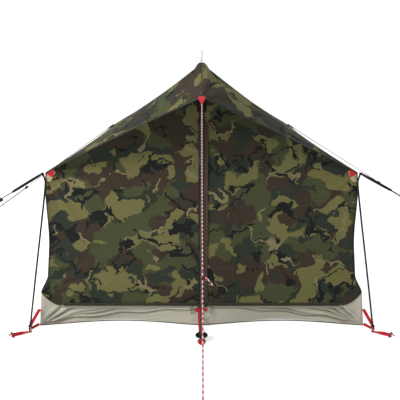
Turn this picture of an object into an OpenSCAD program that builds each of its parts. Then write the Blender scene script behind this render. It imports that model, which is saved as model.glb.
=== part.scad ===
// Ridge tent held up by two upright telescoping poles, pitched and pegged out.
// Millimetres, +Z up. Origin: centre of the floor's underside, on the ground.
// The doorway faces -Y and +X is to the right of someone facing the doorway.

/* [Floor] */
// Width of the floor across the doorway
floor_w = 1530; // [1400:10:1600]
// Length of the floor from doorway to rear wall
floor_l = 2000; // [1900:10:2200]
// Height of the tub wall along its middle stretch
tub_h = 105; // [100:1:115]
// Height of the tub wall at the four corners
tub_corner_h = 172; // [160:2:190]
// Length over which the tub wall climbs to a corner
tub_corner_run = 100; // [80:5:120]

/* [Canopy] */
// Distance between the left and right eaves
eave_w = 1372; // [1300:2:1380]
// Height of the eaves
eave_z = 738; // [700:2:760]
// Height of the ridge line
ridge_z = 1203; // [1190:1:1220]
// Distance of each pole outside the floor's edge
pole_out = 148; // [130:2:160]
// Distance of each hood tip outside its pole
hood_out = 150; // [130:2:180]
// Height of the hood tips
hood_tip_z = 1082; // [1060:2:1100]
// Thickness that stands for one layer of cloth
cloth = 2; // [1.5:0.25:2.5]
// Gap left along a seam between two cloth panels
seam_gap = 2.5; // [2:0.25:3]

/* [Doorway] */
// Height where the middle zip ends under the hood
door_top_z = 1000; // [960:5:1010]
// Width of a zip tape
zip_w = 14; // [12:1:16]
// Width of the folded storm flap beside the middle zip
flap_w = 16; // [12:1:20]

/* [Poles] */
// Outer diameter of the upper pole section
upper_d = 20; // [18:1:20]
// Outer diameter of the middle pole section
middle_d = 17; // [16:0.5:17]
// Outer diameter of the lower pole section
lower_d = 14; // [13:0.5:14]
// Diameter of the foam grip
grip_d = 40; // [36:1:42]
// Diameter of the basket
basket_d = 56; // [50:1:60]
// Height of the top of the pin above the ground
pin_top_z = 1254; // [1245:1:1260]

/* [Guy lines] */
// Distance of a ridge guy's stake outside the hood tip
ridge_guy_reach = 1462; // [1300:2:1600]
// Distance of the front left stake outside its eave
reach_front_left = 1200; // [1000:10:1400]
// Distance of the front right stake outside its eave
reach_front_right = 1330; // [1000:10:1400]
// Distance of the rear left stake outside its eave
reach_rear_left = 1030; // [1000:10:1400]
// Distance of the rear right stake outside its eave
reach_rear_right = 1160; // [1000:10:1400]
// Diameter of the guy rope
rope_d = 4.5; // [4:0.5:5]
// Diameter of the black elastic cord at the corners
cord_d = 8; // [7:0.5:9]

/* [Ground fixings] */
// Diameter of a stake's shaft
stake_d = 7; // [6:0.5:8]
// Length of a stake's shaft
stake_l = 180; // [160:5:200]
// Distance of a corner stake outside the floor, sideways
stake_side = 85; // [75:5:95]
// Distance of a corner stake outside the floor, endways
stake_end = 115; // [105:5:125]
// Width of the webbing
webbing_w = 18; // [15:1:20]

/* [Hidden] */
$fn = 48;

// Key points of the left front quarter; the rest is its mirror image.
half_w = floor_w / 2;
half_l = floor_l / 2;
half_eave = eave_w / 2;
wall_lean = (half_w - half_eave) / eave_z;
pole_y = -half_l - pole_out;
hood_tip = [0, pole_y - hood_out, hood_tip_z];
peak = [0, pole_y, ridge_z];
eave = [-half_eave, -half_l, eave_z];
function wall_x(z) = -half_w + wall_lean * z;
tub_corner = [wall_x(tub_corner_h), -half_l, tub_corner_h];
tub_shoulder_x = wall_x(tub_h) + tub_corner_run;
door_apex = [0, -half_l, door_top_z];
hinge_slope = (door_apex[2] - tub_corner[2]) / (door_apex[0] - tub_corner[0]);
shoulder_slope = (tub_corner_h - tub_h) / (tub_corner[0] - tub_shoulder_x);

// Zip parts sit just outside the front wall.
front_face = -half_l - cloth / 2;
tape_t = 1.2;
coil_w = 3;
coil_t = 1.6;
zip_play = 0.6;
sill_top_z = tub_h + zip_w;

// Pole sections, from the top down. Each is held 60 mm deep in the next.
grip_top_z = ridge_z - 20;
grip_bottom_z = 1012;
upper_bottom_z = 805;
middle_bottom_z = 400;
lower_bottom_z = 22;
overlap_l = 60;
slide_play = 0.1;
tube_end_t = 12;
pin_d = 5;

// Guy runners and webbing.
strand_gap = 6;
runner_l = 30;
runner_w = 11;
runner_h = 17;
tail_l = 34;
webbing_t = 1.6;
ring_r = 11;
ring_wire = 1.8;
ring_z = ring_r + ring_wire + 2;
stake_lean = 20;
stake_head_d = stake_d + 1;
stake_head_h = 32;
stake_bar_d = 6;
neck_h = 14;
ring_at = [-half_w - 25, -half_l - 64, ring_z];
corner_stake_at = [-half_w - stake_side, -half_l - stake_end, 0];

function unit(v) = v / norm(v);
function mirrored(p, side, end) = [p[0] * side, p[1] * end, p[2]];

// Matrix whose X runs from a towards b, with its Z as near as possible to up.
function frame_along(a, b, up) =
    let (x = unit(b - a), y = unit(cross(up, x)), z = cross(x, y))
    [[x[0], y[0], z[0], a[0]], [x[1], y[1], z[1], a[1]], [x[2], y[2], z[2], a[2]], [0, 0, 0, 1]];

// Convex outline moved inwards by d. The outline runs anticlockwise.
function inward(a, b) = let (v = unit(b - a)) [-v[1], v[0]];
function inset(pts, d) =
    let (n = len(pts))
    [for (i = [0:n - 1])
        let (m = inward(pts[(i + n - 1) % n], pts[i]), k = inward(pts[i], pts[(i + 1) % n]))
        pts[i] + d * (m + k) / (1 + m * k)];

// Flat cloth panel through coplanar 3D points, kept gap away from its outline.
module panel(pts, t = cloth, gap = seam_gap) {
    x = unit(pts[1] - pts[0]);
    z = unit(cross(x, pts[2] - pts[0]));
    y = cross(z, x);
    flat = [for (p = pts) [(p - pts[0]) * x, (p - pts[0]) * y]];
    o = pts[0] - z * t / 2;
    multmatrix([[x[0], y[0], z[0], o[0]], [x[1], y[1], z[1], o[1]], [x[2], y[2], z[2], o[2]], [0, 0, 0, 1]])
        linear_extrude(t)
            polygon(inset(flat, gap));
}

// Panel in the front wall's plane, from [x, z] points, y0 in front of the wall.
module front_panel(xz, y0 = 0, t = cloth, gap = seam_gap) {
    panel([for (p = xz) [p[0], -half_l - y0, p[1]]], t, gap);
}

// Strip of webbing from a to b, lying flat against up.
module strip(a, b, w, up = [0, 0, 1], t = webbing_t) {
    multmatrix(frame_along(a, b, up))
        translate([0, -w / 2, -t / 2])
            cube([norm(b - a), w, t]);
}

// Round bar or cord from a to b.
module bar(a, b, d) {
    multmatrix(frame_along(a, b, abs(unit(b - a)[2]) > 0.9 ? [0, 1, 0] : [0, 0, 1]))
        rotate([0, 90, 0])
            cylinder(d = d, h = norm(b - a));
}

// Children are modelled at the left; right is their mirror image.
module on_side(side) {
    if (side == "left") children();
    else mirror([1, 0, 0]) children();
}

// Children are modelled at the front; rear is their mirror image.
module on_end(end) {
    if (end == "front") children();
    else mirror([0, 1, 0]) children();
}

module at_corners() {
    for (side = ["left", "right"], end = ["front", "rear"])
        on_end(end) on_side(side) children();
}

module at_ends() {
    for (end = ["front", "rear"]) on_end(end) children();
}

// Clear space around both pole tops, taken out of the cloth.
module pole_passages() {
    at_ends()
        translate([0, pole_y, ridge_z - 60])
            cylinder(r = 9, h = 120);
}

module roof() {
    back = mirrored(peak, 1, -1);
    difference() {
        panel([peak, back, mirrored(eave, 1, -1), eave]);
        pole_passages();
    }
}

module hood() {
    difference() {
        panel([peak, eave, hood_tip]);
        pole_passages();
    }
}

// Side wall of the canopy, between the eave and the tub.
module side_wall() {
    low_y = half_l - tub_corner_run;
    low = [wall_x(tub_h), -low_y, tub_h];
    panel([
        eave, tub_corner, low, mirrored(low, 1, -1),
        mirrored(tub_corner, 1, -1), mirrored(eave, 1, -1)
    ]);
}

// Fixed part of the front wall, above the line that the door folds along.
module fixed_front() {
    front_panel([
        [0, door_top_z], [0, ridge_z - 4],
        [eave[0], eave_z - 4], [tub_corner[0], tub_corner_h]
    ]);
}

// Closed rear wall, one half each side of the middle seam.
module closed_rear() {
    front_panel([
        [0, tub_h], [0, ridge_z - 4], [eave[0], eave_z - 4],
        [tub_corner[0], tub_corner_h], [tub_shoulder_x, tub_h]
    ]);
}

// One door, from the middle zip to the fold line. Its zip tapes are separate.
module door() {
    shoulder = tub_shoulder_x + (sill_top_z - tub_h) / shoulder_slope;
    front_panel([
        [-zip_w, sill_top_z], [-zip_w, door_top_z - zip_w * hinge_slope],
        [tub_corner[0], tub_corner_h], [shoulder, sill_top_z]
    ]);
}

// Half of the middle zip: its tape and its row of coil.
module middle_tape() {
    edge = -1;
    low_z = tub_h + 4;
    front_panel([
        [edge, low_z], [edge, door_top_z - 6 + edge * hinge_slope],
        [-zip_w, door_top_z - 6 - zip_w * hinge_slope], [-zip_w, low_z]
    ], 0, tape_t, 0);
    translate([edge - coil_w, -half_l - coil_t, low_z])
        cube([coil_w, coil_t, door_top_z - low_z - 14]);
}

// Half of a bottom zip that stays on the door.
module sill_tape() {
    low_z = tub_h + 3;
    width = -tub_shoulder_x - zip_w - 12;
    translate([-zip_w - 2 - width, -half_l - tape_t / 2, low_z])
        cube([width, tape_t, zip_w - 4]);
    translate([-zip_w - 2 - width, -half_l - coil_t, low_z])
        cube([width, coil_t, coil_w]);
}

// Half of a bottom zip that stays on the tub.
module tub_tape() {
    top_z = tub_h - 2.5;
    width = -tub_shoulder_x - zip_w - 12;
    translate([-zip_w - 2 - width, front_face - 0.8 - tape_t, top_z - 10])
        cube([width, tape_t, 10]);
}

module storm_flap() {
    x0 = 10;
    z0 = sill_top_z - 4;
    translate([x0, front_face - 1 - tape_t, z0])
        cube([flap_w, tape_t, door_top_z - (x0 + flap_w) * hinge_slope - 8 - z0]);
}

// Slider of the middle zip, on the right door's coil.
slider_z = 150;
slider_l = 24;
slider_x = 1.2;
slider_w = 8;
slider_t = 3.4;
slider_back = -half_l - coil_t - zip_play;
pull_pivot = [slider_x + slider_w / 2, slider_back - slider_t - 3, slider_z + 16];

module middle_slider() {
    translate([slider_x, slider_back - slider_t, slider_z])
        cube([slider_w, slider_t, slider_l]);
    for (dx = [-3, 2])
        translate([pull_pivot[0] + dx, pull_pivot[1] - 2, pull_pivot[2] - 2])
            cube([1, 6, 4]);
    translate([pull_pivot[0] - 3, pull_pivot[1], pull_pivot[2]])
        rotate([0, 90, 0])
            cylinder(d = 1.9, h = 6);
}

// Pull tab that hangs from the slider's crossbar.
module middle_pull() {
    difference() {
        union() {
            translate([pull_pivot[0], pull_pivot[1], pull_pivot[2]])
                rotate([0, 90, 0])
                    cylinder(d = 3.6, h = 3, center = true);
            translate([pull_pivot[0] - 1.5, pull_pivot[1] - 0.8, pull_pivot[2] - 14])
                cube([3, 1.6, 13]);
            translate([pull_pivot[0] - 3, pull_pivot[1] - 0.8, pull_pivot[2] - 44])
                cube([6, 1.6, 31]);
        }
        translate([pull_pivot[0], pull_pivot[1], pull_pivot[2]])
            rotate([0, 90, 0])
                cylinder(d = 2, h = 5, center = true);
    }
}

// Slider of one bottom zip, with its pull hanging below it.
module bottom_slider() {
    back = front_face - 0.8 - tape_t - zip_play;
    translate([-57, back - 3.4, tub_h - 12])
        cube([22, 3.4, 9.5]);
    translate([-49, back - 3.4, tub_h - 42])
        cube([6, 1.6, 32]);
}

// Floor and its four upright walls, sewn into one waterproof tub.
// Its rim stays a little below the canopy's lower edge.
module bathtub() {
    base = 1;
    rim_h = tub_h - 3;
    corner = tub_corner - [0, 0, 3];
    foot = [wall_x(base), -half_l, base];
    shoulder = [tub_shoulder_x, -half_l, rim_h];
    low = [wall_x(rim_h), tub_corner_run - half_l, rim_h];
    translate([-half_w, -half_l, 0])
        cube([floor_w, floor_l, cloth]);
    at_ends()
        panel([
            foot, mirrored(foot, -1, 1), mirrored(corner, -1, 1),
            mirrored(shoulder, -1, 1), shoulder, corner
        ], cloth, 0);
    for (side = ["left", "right"])
        on_side(side)
            panel([
                foot, corner, low, mirrored(low, 1, -1),
                mirrored(corner, 1, -1), mirrored(foot, 1, -1)
            ], cloth, 0);
}

module pole_pin() {
    translate([0, pole_y, grip_top_z + 0.5])
        cylinder(d = pin_d, h = pin_top_z - grip_top_z - 0.5);
}

module pole_grip() {
    translate([0, pole_y, 0])
        rotate_extrude()
            polygon([
                [upper_d / 2 + 0.1, grip_bottom_z], [grip_d / 2 - 3, grip_bottom_z],
                [grip_d / 2, grip_bottom_z + 5], [grip_d / 2, grip_top_z - 12],
                [grip_d / 2 - 6, grip_top_z], [0, grip_top_z],
                [0, grip_top_z - 20], [upper_d / 2 + 0.1, grip_top_z - 20]
            ]);
}

module ridge_eyelet() {
    translate([0, pole_y, ridge_z + 2])
        rotate_extrude()
            translate([6.4, 0])
                square([4.6, 1.6]);
}

// Tube with a closed top end, open at its foot.
module tube(d, bore_d, z0, z1) {
    translate([0, pole_y, z0])
        difference() {
            cylinder(d = d, h = z1 - z0);
            translate([0, 0, -1])
                cylinder(d = bore_d, h = z1 - z0 - tube_end_t + 1);
        }
}

module pole_upper() {
    tube(upper_d, middle_d + 2 * slide_play, upper_bottom_z, grip_top_z - 21);
}

module pole_middle() {
    tube(middle_d, lower_d + 2 * slide_play, middle_bottom_z, upper_bottom_z + overlap_l);
}

module pole_lower() {
    translate([0, pole_y, lower_bottom_z])
        cylinder(d = lower_d, h = middle_bottom_z + overlap_l - lower_bottom_z);
}

module pole_basket() {
    translate([0, pole_y, 0])
        rotate_extrude()
            polygon([
                [lower_d / 2 + 0.1, 24], [basket_d / 2 - 3, 27], [basket_d / 2, 29],
                [basket_d / 2 - 1, 32], [lower_d / 2 + 5, 33],
                [lower_d / 2 + 3, 42], [lower_d / 2 + 0.1, 42]
            ]);
}

module pole_tip() {
    translate([0, pole_y, 0])
        rotate_extrude()
            polygon([
                [0, 0.5], [2, 0.5], [3, 7], [5.5, 16], [5.5, lower_bottom_z - 0.2],
                [0, lower_bottom_z - 0.2]
            ]);
}

// Direction in which a ridge guy runs down from the front hood tip.
ridge_stake_at = [0, hood_tip[1] - ridge_guy_reach, 0];
ridge_guy_dir = unit(ridge_stake_at + [0, 0, neck_h] - hood_tip);

// Triangle of webbing at a hood tip, which the ridge guy is tied to.
module peak_tab() {
    top = hood_tip + ridge_guy_dir * 5;
    panel([top + [-16, 0, 0], top + ridge_guy_dir * 32, top + [16, 0, 0]], 2 * webbing_t, 0);
}

// Light reinforcement sewn over a corner of the end wall, under the hood.
module eave_patch() {
    front_panel([
        [-half_eave + 44, eave_z + 10], [-half_eave + 4, eave_z - 10],
        [-half_eave - 2, eave_z - 44], [-half_eave + 20, eave_z - 38]
    ], 2.6, webbing_t, 0);
}

// Triangle of webbing that hangs from the corner of the hood.
module eave_tab() {
    front_panel([
        [-half_eave + 46, eave_z + 18], [-half_eave + 8, eave_z + 2],
        [-half_eave + 36, eave_z - 16]
    ], 26, webbing_t, 0);
}

// Strap that ties the foot of a pole to the tub.
module foot_strap() {
    wall = front_face - 0.6 - webbing_t;
    toe_y = pole_y - 34;
    half_toe = webbing_w;
    translate([-26, wall, 70])
        cube([46, webbing_t, 20]);
    strip([-8, wall - 0.2, 84], [-4, pole_y + 34, 4], webbing_w);
    difference() {
        hull() {
            translate([0, toe_y + half_toe, 3])
                cylinder(r = half_toe, h = 2);
            translate([-half_toe, pole_y + 20, 3])
                cube([2 * half_toe, 16, 2]);
        }
        translate([0, pole_y, 0])
            cylinder(r = 6, h = 10);
    }
}

// Webbing at one floor corner: two sewn legs to the ring, and one on to the stake.
module corner_strap() {
    gap = ring_r + ring_wire + 1;
    seam = [wall_x(85) - 3, -half_l - 3, 85];
    sole = [-half_w - 3, -half_l - 3, 7];
    out = unit(corner_stake_at + [0, 0, ring_z] - ring_at);
    strip(seam, ring_at + unit(seam - ring_at) * gap, webbing_w * 0.7, [1, 1, 0]);
    strip(sole, ring_at + unit(sole - ring_at) * gap, webbing_w * 0.7, [0, 0, 1]);
    strip(ring_at + out * gap, corner_stake_at + [0, 0, neck_h] - out * (stake_head_d / 2 + 2), webbing_w);
}

// Ring that joins the webbing to the corner cord, standing across the corner.
module corner_ring() {
    translate(ring_at)
        rotate([0, 0, -45])
            rotate([90, 0, 0])
                rotate_extrude()
                    translate([ring_r, 0])
                        circle(r = ring_wire);
}

module corner_cord() {
    low = ring_at + [0, 0, ring_r + ring_wire + cord_d / 2];
    top = eave + [-6, -10, -8];
    bar(low, top, cord_d);
}

// Peg driven in at a slant, with its head leaning away from the tent.
// Above the ground it thickens, and a crossbar at the top holds the rope.
module stake(at, away) {
    low = stake_head_h - stake_l;
    translate(at)
        rotate([0, 0, atan2(away[1], away[0])])
            rotate([0, stake_lean, 0]) {
                translate([0, 0, low - 16])
                    cylinder(d1 = 1, d2 = stake_d, h = 16);
                translate([0, 0, low])
                    cylinder(d = stake_d, h = -2 - low);
                translate([0, 0, -2])
                    cylinder(d1 = stake_d, d2 = stake_head_d, h = 4);
                translate([0, 0, 2])
                    cylinder(d = stake_head_d, h = stake_head_h - 2);
                translate([0, 0, stake_head_h - stake_bar_d])
                    rotate([0, 90, 0])
                        cylinder(d = stake_bar_d, h = 18);
            }
}

module corner_stake_set() {
    at_corners() stake(corner_stake_at, [-stake_side, -stake_end, 0]);
}

// Where each eave guy starts and where its stake stands.
guy_start = eave + [-14, -6, -4];
splay = 60;
function eave_stake(side, end, reach) = mirrored([guy_start[0] - reach, guy_start[1] - splay, 0], side, end);

module eave_guy_stake(side, end, reach) {
    at = eave_stake(side, end, reach);
    stake(at, at - mirrored(guy_start, side, end));
}

module guy_stake_set() {
    at_ends() stake(ridge_stake_at, [0, -1, 0]);
    eave_guy_stake(1, 1, reach_front_left);
    eave_guy_stake(-1, 1, reach_front_right);
    eave_guy_stake(1, -1, reach_rear_left);
    eave_guy_stake(-1, -1, reach_rear_right);
}

// Guy from a to the neck of the stake at s. Past the runner it runs doubled,
// down to a whipping that gathers both strands above the loop round the stake.
module guy(a, s, runner_at) {
    neck = neck_of(s, a);
    d = unit(neck - a);
    under = unit(cross(cross(d, [0, 0, 1]), d)) * -strand_gap;
    loop_d = rope_d + 1;
    loop_r = stake_head_d / 2 + loop_d / 2 + 2;
    whipping_end = neck - d * 22;
    bar(a, neck - d * loop_r, rope_d);
    bar(a + d * (runner_at + 4) + under, whipping_end + under, rope_d);
    bar(whipping_end + under / 2 - d * 10, whipping_end + under / 2 + d * 4, strand_gap + rope_d + 2);
    translate(neck)
        multmatrix(frame_along([0, 0, 0], d, [0, 0, 1]))
            rotate_extrude()
                translate([loop_r, 0])
                    circle(d = loop_d);
}

// Point on a stake's axis that a rope from a holds.
function neck_of(s, a) =
    let (away = unit([s[0] - a[0], s[1] - a[1], 0]))
    s + neck_h * (away * tan(stake_lean) + [0, 0, 1]);

// Runner with two holes for the doubled rope, and the rope's knotted tail.
module runner(a, s, runner_at, tail_side) {
    neck = neck_of(s, a);
    d = unit(neck - a);
    multmatrix(frame_along(a + d * runner_at, neck, [0, 0, 1])) {
        difference() {
            translate([0, -runner_w / 2, -strand_gap / 2 - runner_h / 2])
                cube([runner_l, runner_w, runner_h]);
            for (dz = [0, -strand_gap])
                translate([-1, 0, dz])
                    rotate([0, 90, 0])
                        cylinder(d = rope_d + 2 * slide_play, h = runner_l + 2);
        }
        translate([runner_l - 8, tail_side * (runner_w / 2 - 0.5), -strand_gap / 2])
            rotate([-90 * tail_side, 0, 0])
                rotate([0, 45, 0])
                    cylinder(d = rope_d, h = tail_l);
    }
}

ridge_start = hood_tip + ridge_guy_dir * 40;
ridge_runner_at = 720;
front_runner_at = 215;
rear_runner_at = 900;

// Ridge guy and its runner, modelled at the front.
module ridge_guy() { guy(ridge_start, ridge_stake_at, ridge_runner_at); }
module ridge_runner() { runner(ridge_start, ridge_stake_at, ridge_runner_at, 1); }

// Eave guy and its runner at the side and end given as 1 or -1.
module eave_guy(side, end, reach, runner_at) {
    guy(mirrored(guy_start, side, end), eave_stake(side, end, reach), runner_at);
}
module eave_runner(side, end, reach, runner_at) {
    runner(mirrored(guy_start, side, end), eave_stake(side, end, reach), runner_at, side * end);
}

camo = "darkolivegreen";
red = "firebrick";

module roof_left() { color(camo) roof(); }
module roof_right() { color(camo) on_side("right") roof(); }
module front_hood_left() { color(camo) hood(); }
module front_hood_right() { color(camo) on_side("right") hood(); }
module rear_hood_left() { color(camo) on_end("rear") hood(); }
module rear_hood_right() { color(camo) on_end("rear") on_side("right") hood(); }
module side_wall_left() { color(camo) side_wall(); }
module side_wall_right() { color(camo) on_side("right") side_wall(); }
module front_wall_left() { color(camo) fixed_front(); }
module front_wall_right() { color(camo) on_side("right") fixed_front(); }
module rear_wall_left() { color(camo) on_end("rear") closed_rear(); }
module rear_wall_right() { color(camo) on_end("rear") on_side("right") closed_rear(); }
module bathtub_floor() { color("darkgray") bathtub(); }
module door_left() { color(camo) door(); }
module door_right() { color(camo) on_side("right") door(); }
module zip_tape_left() { color("black") middle_tape(); }
module zip_tape_right() { color("black") on_side("right") middle_tape(); }
module zip_flap() { color("saddlebrown") storm_flap(); }
module zip_slider() { color("dimgray") middle_slider(); }
module zip_pull() { color("dimgray") middle_pull(); }
module sill_zip_left() { color("black") sill_tape(); }
module sill_zip_right() { color("black") on_side("right") sill_tape(); }
module tub_zip_tapes() { color("black") { tub_tape(); on_side("right") tub_tape(); } }
module sill_slider_left() { color("dimgray") bottom_slider(); }
module sill_slider_right() { color("dimgray") on_side("right") bottom_slider(); }
module pole_pins() { color("silver") at_ends() pole_pin(); }
module pole_grips() { color("black") at_ends() pole_grip(); }
module ridge_eyelets() { color("dimgray") at_ends() ridge_eyelet(); }
module front_pole_upper() { color("black") pole_upper(); }
module front_pole_middle() { color("black") pole_middle(); }
module front_pole_lower() { color("black") pole_lower(); }
module front_pole_basket() { color("black") pole_basket(); }
module front_pole_tip() { color("silver") pole_tip(); }
module rear_pole_upper() { color("black") on_end("rear") pole_upper(); }
module rear_pole_middle() { color("black") on_end("rear") pole_middle(); }
module rear_pole_lower() { color("black") on_end("rear") pole_lower(); }
module rear_pole_basket() { color("black") on_end("rear") pole_basket(); }
module rear_pole_tip() { color("silver") on_end("rear") pole_tip(); }
module peak_tabs() { color(red) at_ends() peak_tab(); }
module eave_tabs() { color(red) at_corners() eave_tab(); }
module eave_patches() { color("tan") at_corners() eave_patch(); }
module foot_straps() { color(red) at_ends() foot_strap(); }
module corner_straps() { color(red) at_corners() corner_strap(); }
module corner_rings() { color("silver") at_corners() corner_ring(); }
module corner_cords() { color("black") at_corners() corner_cord(); }
module corner_stakes() { color("gray") corner_stake_set(); }
module guy_stakes() { color("gray") guy_stake_set(); }
module front_ridge_guy() { color(red) ridge_guy(); }
module rear_ridge_guy() { color(red) on_end("rear") ridge_guy(); }
module front_left_guy() { color(red) eave_guy(1, 1, reach_front_left, front_runner_at); }
module front_right_guy() { color(red) eave_guy(-1, 1, reach_front_right, front_runner_at); }
module rear_left_guy() { color(red) eave_guy(1, -1, reach_rear_left, rear_runner_at); }
module rear_right_guy() { color(red) eave_guy(-1, -1, reach_rear_right, rear_runner_at); }
module front_ridge_runner() { color("black") ridge_runner(); }
module rear_ridge_runner() { color("black") on_end("rear") ridge_runner(); }
module front_left_runner() { color("black") eave_runner(1, 1, reach_front_left, front_runner_at); }
module front_right_runner() { color("black") eave_runner(-1, 1, reach_front_right, front_runner_at); }
module rear_left_runner() { color("black") eave_runner(1, -1, reach_rear_left, rear_runner_at); }
module rear_right_runner() { color("black") eave_runner(-1, -1, reach_rear_right, rear_runner_at); }

roof_left();
roof_right();
front_hood_left();
front_hood_right();
rear_hood_left();
rear_hood_right();
side_wall_left();
side_wall_right();
front_wall_left();
front_wall_right();
rear_wall_left();
rear_wall_right();
bathtub_floor();
door_left();
door_right();
zip_tape_left();
zip_tape_right();
zip_flap();
zip_slider();
zip_pull();
sill_zip_left();
sill_zip_right();
tub_zip_tapes();
sill_slider_left();
sill_slider_right();
pole_pins();
pole_grips();
ridge_eyelets();
front_pole_upper();
front_pole_middle();
front_pole_lower();
front_pole_basket();
front_pole_tip();
rear_pole_upper();
rear_pole_middle();
rear_pole_lower();
rear_pole_basket();
rear_pole_tip();
peak_tabs();
eave_tabs();
eave_patches();
foot_straps();
corner_straps();
corner_rings();
corner_cords();
corner_stakes();
guy_stakes();
front_ridge_guy();
rear_ridge_guy();
front_left_guy();
front_right_guy();
rear_left_guy();
rear_right_guy();
front_ridge_runner();
rear_ridge_runner();
front_left_runner();
front_right_runner();
rear_left_runner();
rear_right_runner();
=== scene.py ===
import math

import bmesh
import bpy
import numpy as np
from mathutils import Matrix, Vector


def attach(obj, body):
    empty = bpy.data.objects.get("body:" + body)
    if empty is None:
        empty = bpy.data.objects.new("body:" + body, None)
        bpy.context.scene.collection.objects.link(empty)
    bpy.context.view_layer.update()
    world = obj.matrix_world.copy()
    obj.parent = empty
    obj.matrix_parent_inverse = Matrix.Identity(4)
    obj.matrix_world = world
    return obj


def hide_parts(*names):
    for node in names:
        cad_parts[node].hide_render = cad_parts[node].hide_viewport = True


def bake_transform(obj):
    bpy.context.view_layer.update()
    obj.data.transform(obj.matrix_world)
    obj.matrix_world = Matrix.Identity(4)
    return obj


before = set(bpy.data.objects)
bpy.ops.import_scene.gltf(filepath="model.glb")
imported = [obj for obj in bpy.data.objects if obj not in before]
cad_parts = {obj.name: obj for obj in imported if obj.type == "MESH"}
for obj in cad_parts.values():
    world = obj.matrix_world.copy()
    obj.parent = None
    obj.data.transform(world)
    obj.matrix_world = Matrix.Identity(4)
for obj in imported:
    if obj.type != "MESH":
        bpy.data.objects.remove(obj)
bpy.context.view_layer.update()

# Sizes of the tent, in metres, as in the CAD source.
FLOOR_X, FLOOR_Y = 0.765, 1.0
TUB_Z, CORNER_Z, CORNER_RUN = 0.105, 0.172, 0.1
EAVE_X, EAVE_Z = 0.686, 0.738
RIDGE_Z, POLE_Y = 1.203, 1.148
TIP_Y, TIP_Z = 1.298, 1.082
DOOR_TOP_Z = 1.0
WALL_LEAN = (FLOOR_X - EAVE_X) / EAVE_Z
CORNER_X = FLOOR_X - WALL_LEAN * CORNER_Z
RING = np.array([0.79, 1.064, 0.0148])
STAKE = np.array([0.85, 1.115, 0.0])
NECK_Z = 0.014
STAKE_LEAN = math.radians(20)
RIDGE_STAKE_Y = TIP_Y + 1.462
REACH = {"front_left": 1.2, "front_right": 1.33, "rear_left": 1.03, "rear_right": 1.16}
SPLAY = 0.06

# How far the pulled cloth leaves the flat panels of the CAD.
RIDGE_SAG = 0.016
RAKE_SAG = 0.019
ROOF_SAG = 0.03
EAVE_BOW = 0.014
HEM_LIFT = 0.006
WAIST = 0.026
SIDE_SAG = 0.012
BASE_BOW = 0.048
BASE_LIFT = 0.009
CLOTH_T = 0.0012

# Length of the cloth from ridge to eave, and of the hood's seam from ridge to tip.
ROOF_SLOPE, HOOD_SLOPE = 0.83, 0.19

# Factors that turn the right side, and the front, into each side and end.
SIDES = {"left": -1, "right": 1}
ENDS = {"front": 1, "rear": -1}


# ---------------------------------------------------------------- small maths

def ease(x):
    """0 up to x = 0, 1 from x = 1, smooth between."""
    x = np.clip(x, 0.0, 1.0)
    return x * x * (3 - 2 * x)


def noise(s, t, cell, seed):
    """Smooth noise in -1..1 over the plane, with blobs about one cell wide."""
    table = np.random.default_rng(seed).uniform(-1, 1, (64, 64))
    a, b = s / cell, t / cell
    i, j = np.floor(a).astype(int), np.floor(b).astype(int)
    f, g = ease(a - i), ease(b - j)
    at = lambda di, dj: table[(i + di) % 64, (j + dj) % 64]
    low = (1 - f) * at(0, 0) + f * at(1, 0)
    high = (1 - f) * at(0, 1) + f * at(1, 1)
    return (1 - g) * low + g * high


def fan(s, t, centre, reach, spokes, size, seed):
    """Tension folds that spread from a pulled point."""
    ds, dt = s - centre[0], t - centre[1]
    r, angle = np.hypot(ds, dt), np.arctan2(dt, ds)
    wander = 1.6 * noise(angle + 9, angle * 0 + seed, 0.6, seed)
    return size * np.sin(spokes * angle + wander) * np.exp(-r / reach) * (1 - np.exp(-r / 0.05))


def drape(s, t, seed, size=0.003):
    """Slow unevenness of hanging cloth."""
    broad = noise(s, t * 0.8, 0.42, seed) + 0.5 * noise(s, t, 0.19, seed + 1)
    return size * broad + 0.25 * size * noise(s, t, 0.07, seed + 2)


def pucker(d, along, seed, size=0.0014):
    """Small ripples that a stitched edge draws in the cloth beside it."""
    ripple = noise(along, along * 0 + seed, 0.016, seed)
    return size * np.exp(-d / 0.035) * ripple


def spaced(n, power=1.0):
    """n + 1 steps from 0 to 1, closer together near 0 when power is above 1."""
    return np.linspace(0, 1, n + 1) ** power


def both_ends(n):
    """n + 1 steps from 0 to 1, closer together near both ends."""
    return 0.5 - 0.5 * np.cos(np.pi * np.linspace(0, 1, n + 1))


def normals(p):
    """Unit normals of a grid of points."""
    n = np.cross(np.gradient(p, axis=0), np.gradient(p, axis=1))
    return n / np.maximum(np.linalg.norm(n, axis=2, keepdims=True), 1e-9)


def lengths(path):
    """Distance along a path to each of its points."""
    return np.r_[0, np.cumsum(np.linalg.norm(np.diff(path, axis=0), axis=1))]


def resample(path, count):
    """The same path with evenly spaced points."""
    length = lengths(path)
    at = np.linspace(0, length[-1], count)
    return np.stack([np.interp(at, length, path[:, k]) for k in range(3)], axis=1)


def curve(points, count):
    """Smooth curve through points, evenly sampled."""
    p = np.array(points, float)
    p = np.vstack([2 * p[0] - p[1], p, 2 * p[-1] - p[-2]])
    out = []
    for k in range(1, len(p) - 2):
        a, b, c, d = p[k - 1:k + 3]
        for t in np.linspace(0, 1, 24, endpoint=False):
            out.append(0.5 * (2 * b + (c - a) * t + (2 * a - 5 * b + 4 * c - d) * t * t
                              + (3 * b - a - 3 * c + d) * t ** 3))
    return resample(np.array(out + [p[-2]]), count)


def unit(v):
    """Vector of the same direction and length 1."""
    v = np.asarray(v, float)
    return v / np.linalg.norm(v)


def line(x, y, z):
    """Points in a row; each coordinate is one number or a row of them."""
    return np.stack(np.broadcast_arrays(x, y, z), axis=1)


def turns(steps):
    """Cosines and sines of even steps round a circle, one row for each."""
    angle = np.linspace(0, 2 * np.pi, steps, endpoint=False)[:, None]
    return np.cos(angle), np.sin(angle)


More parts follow.
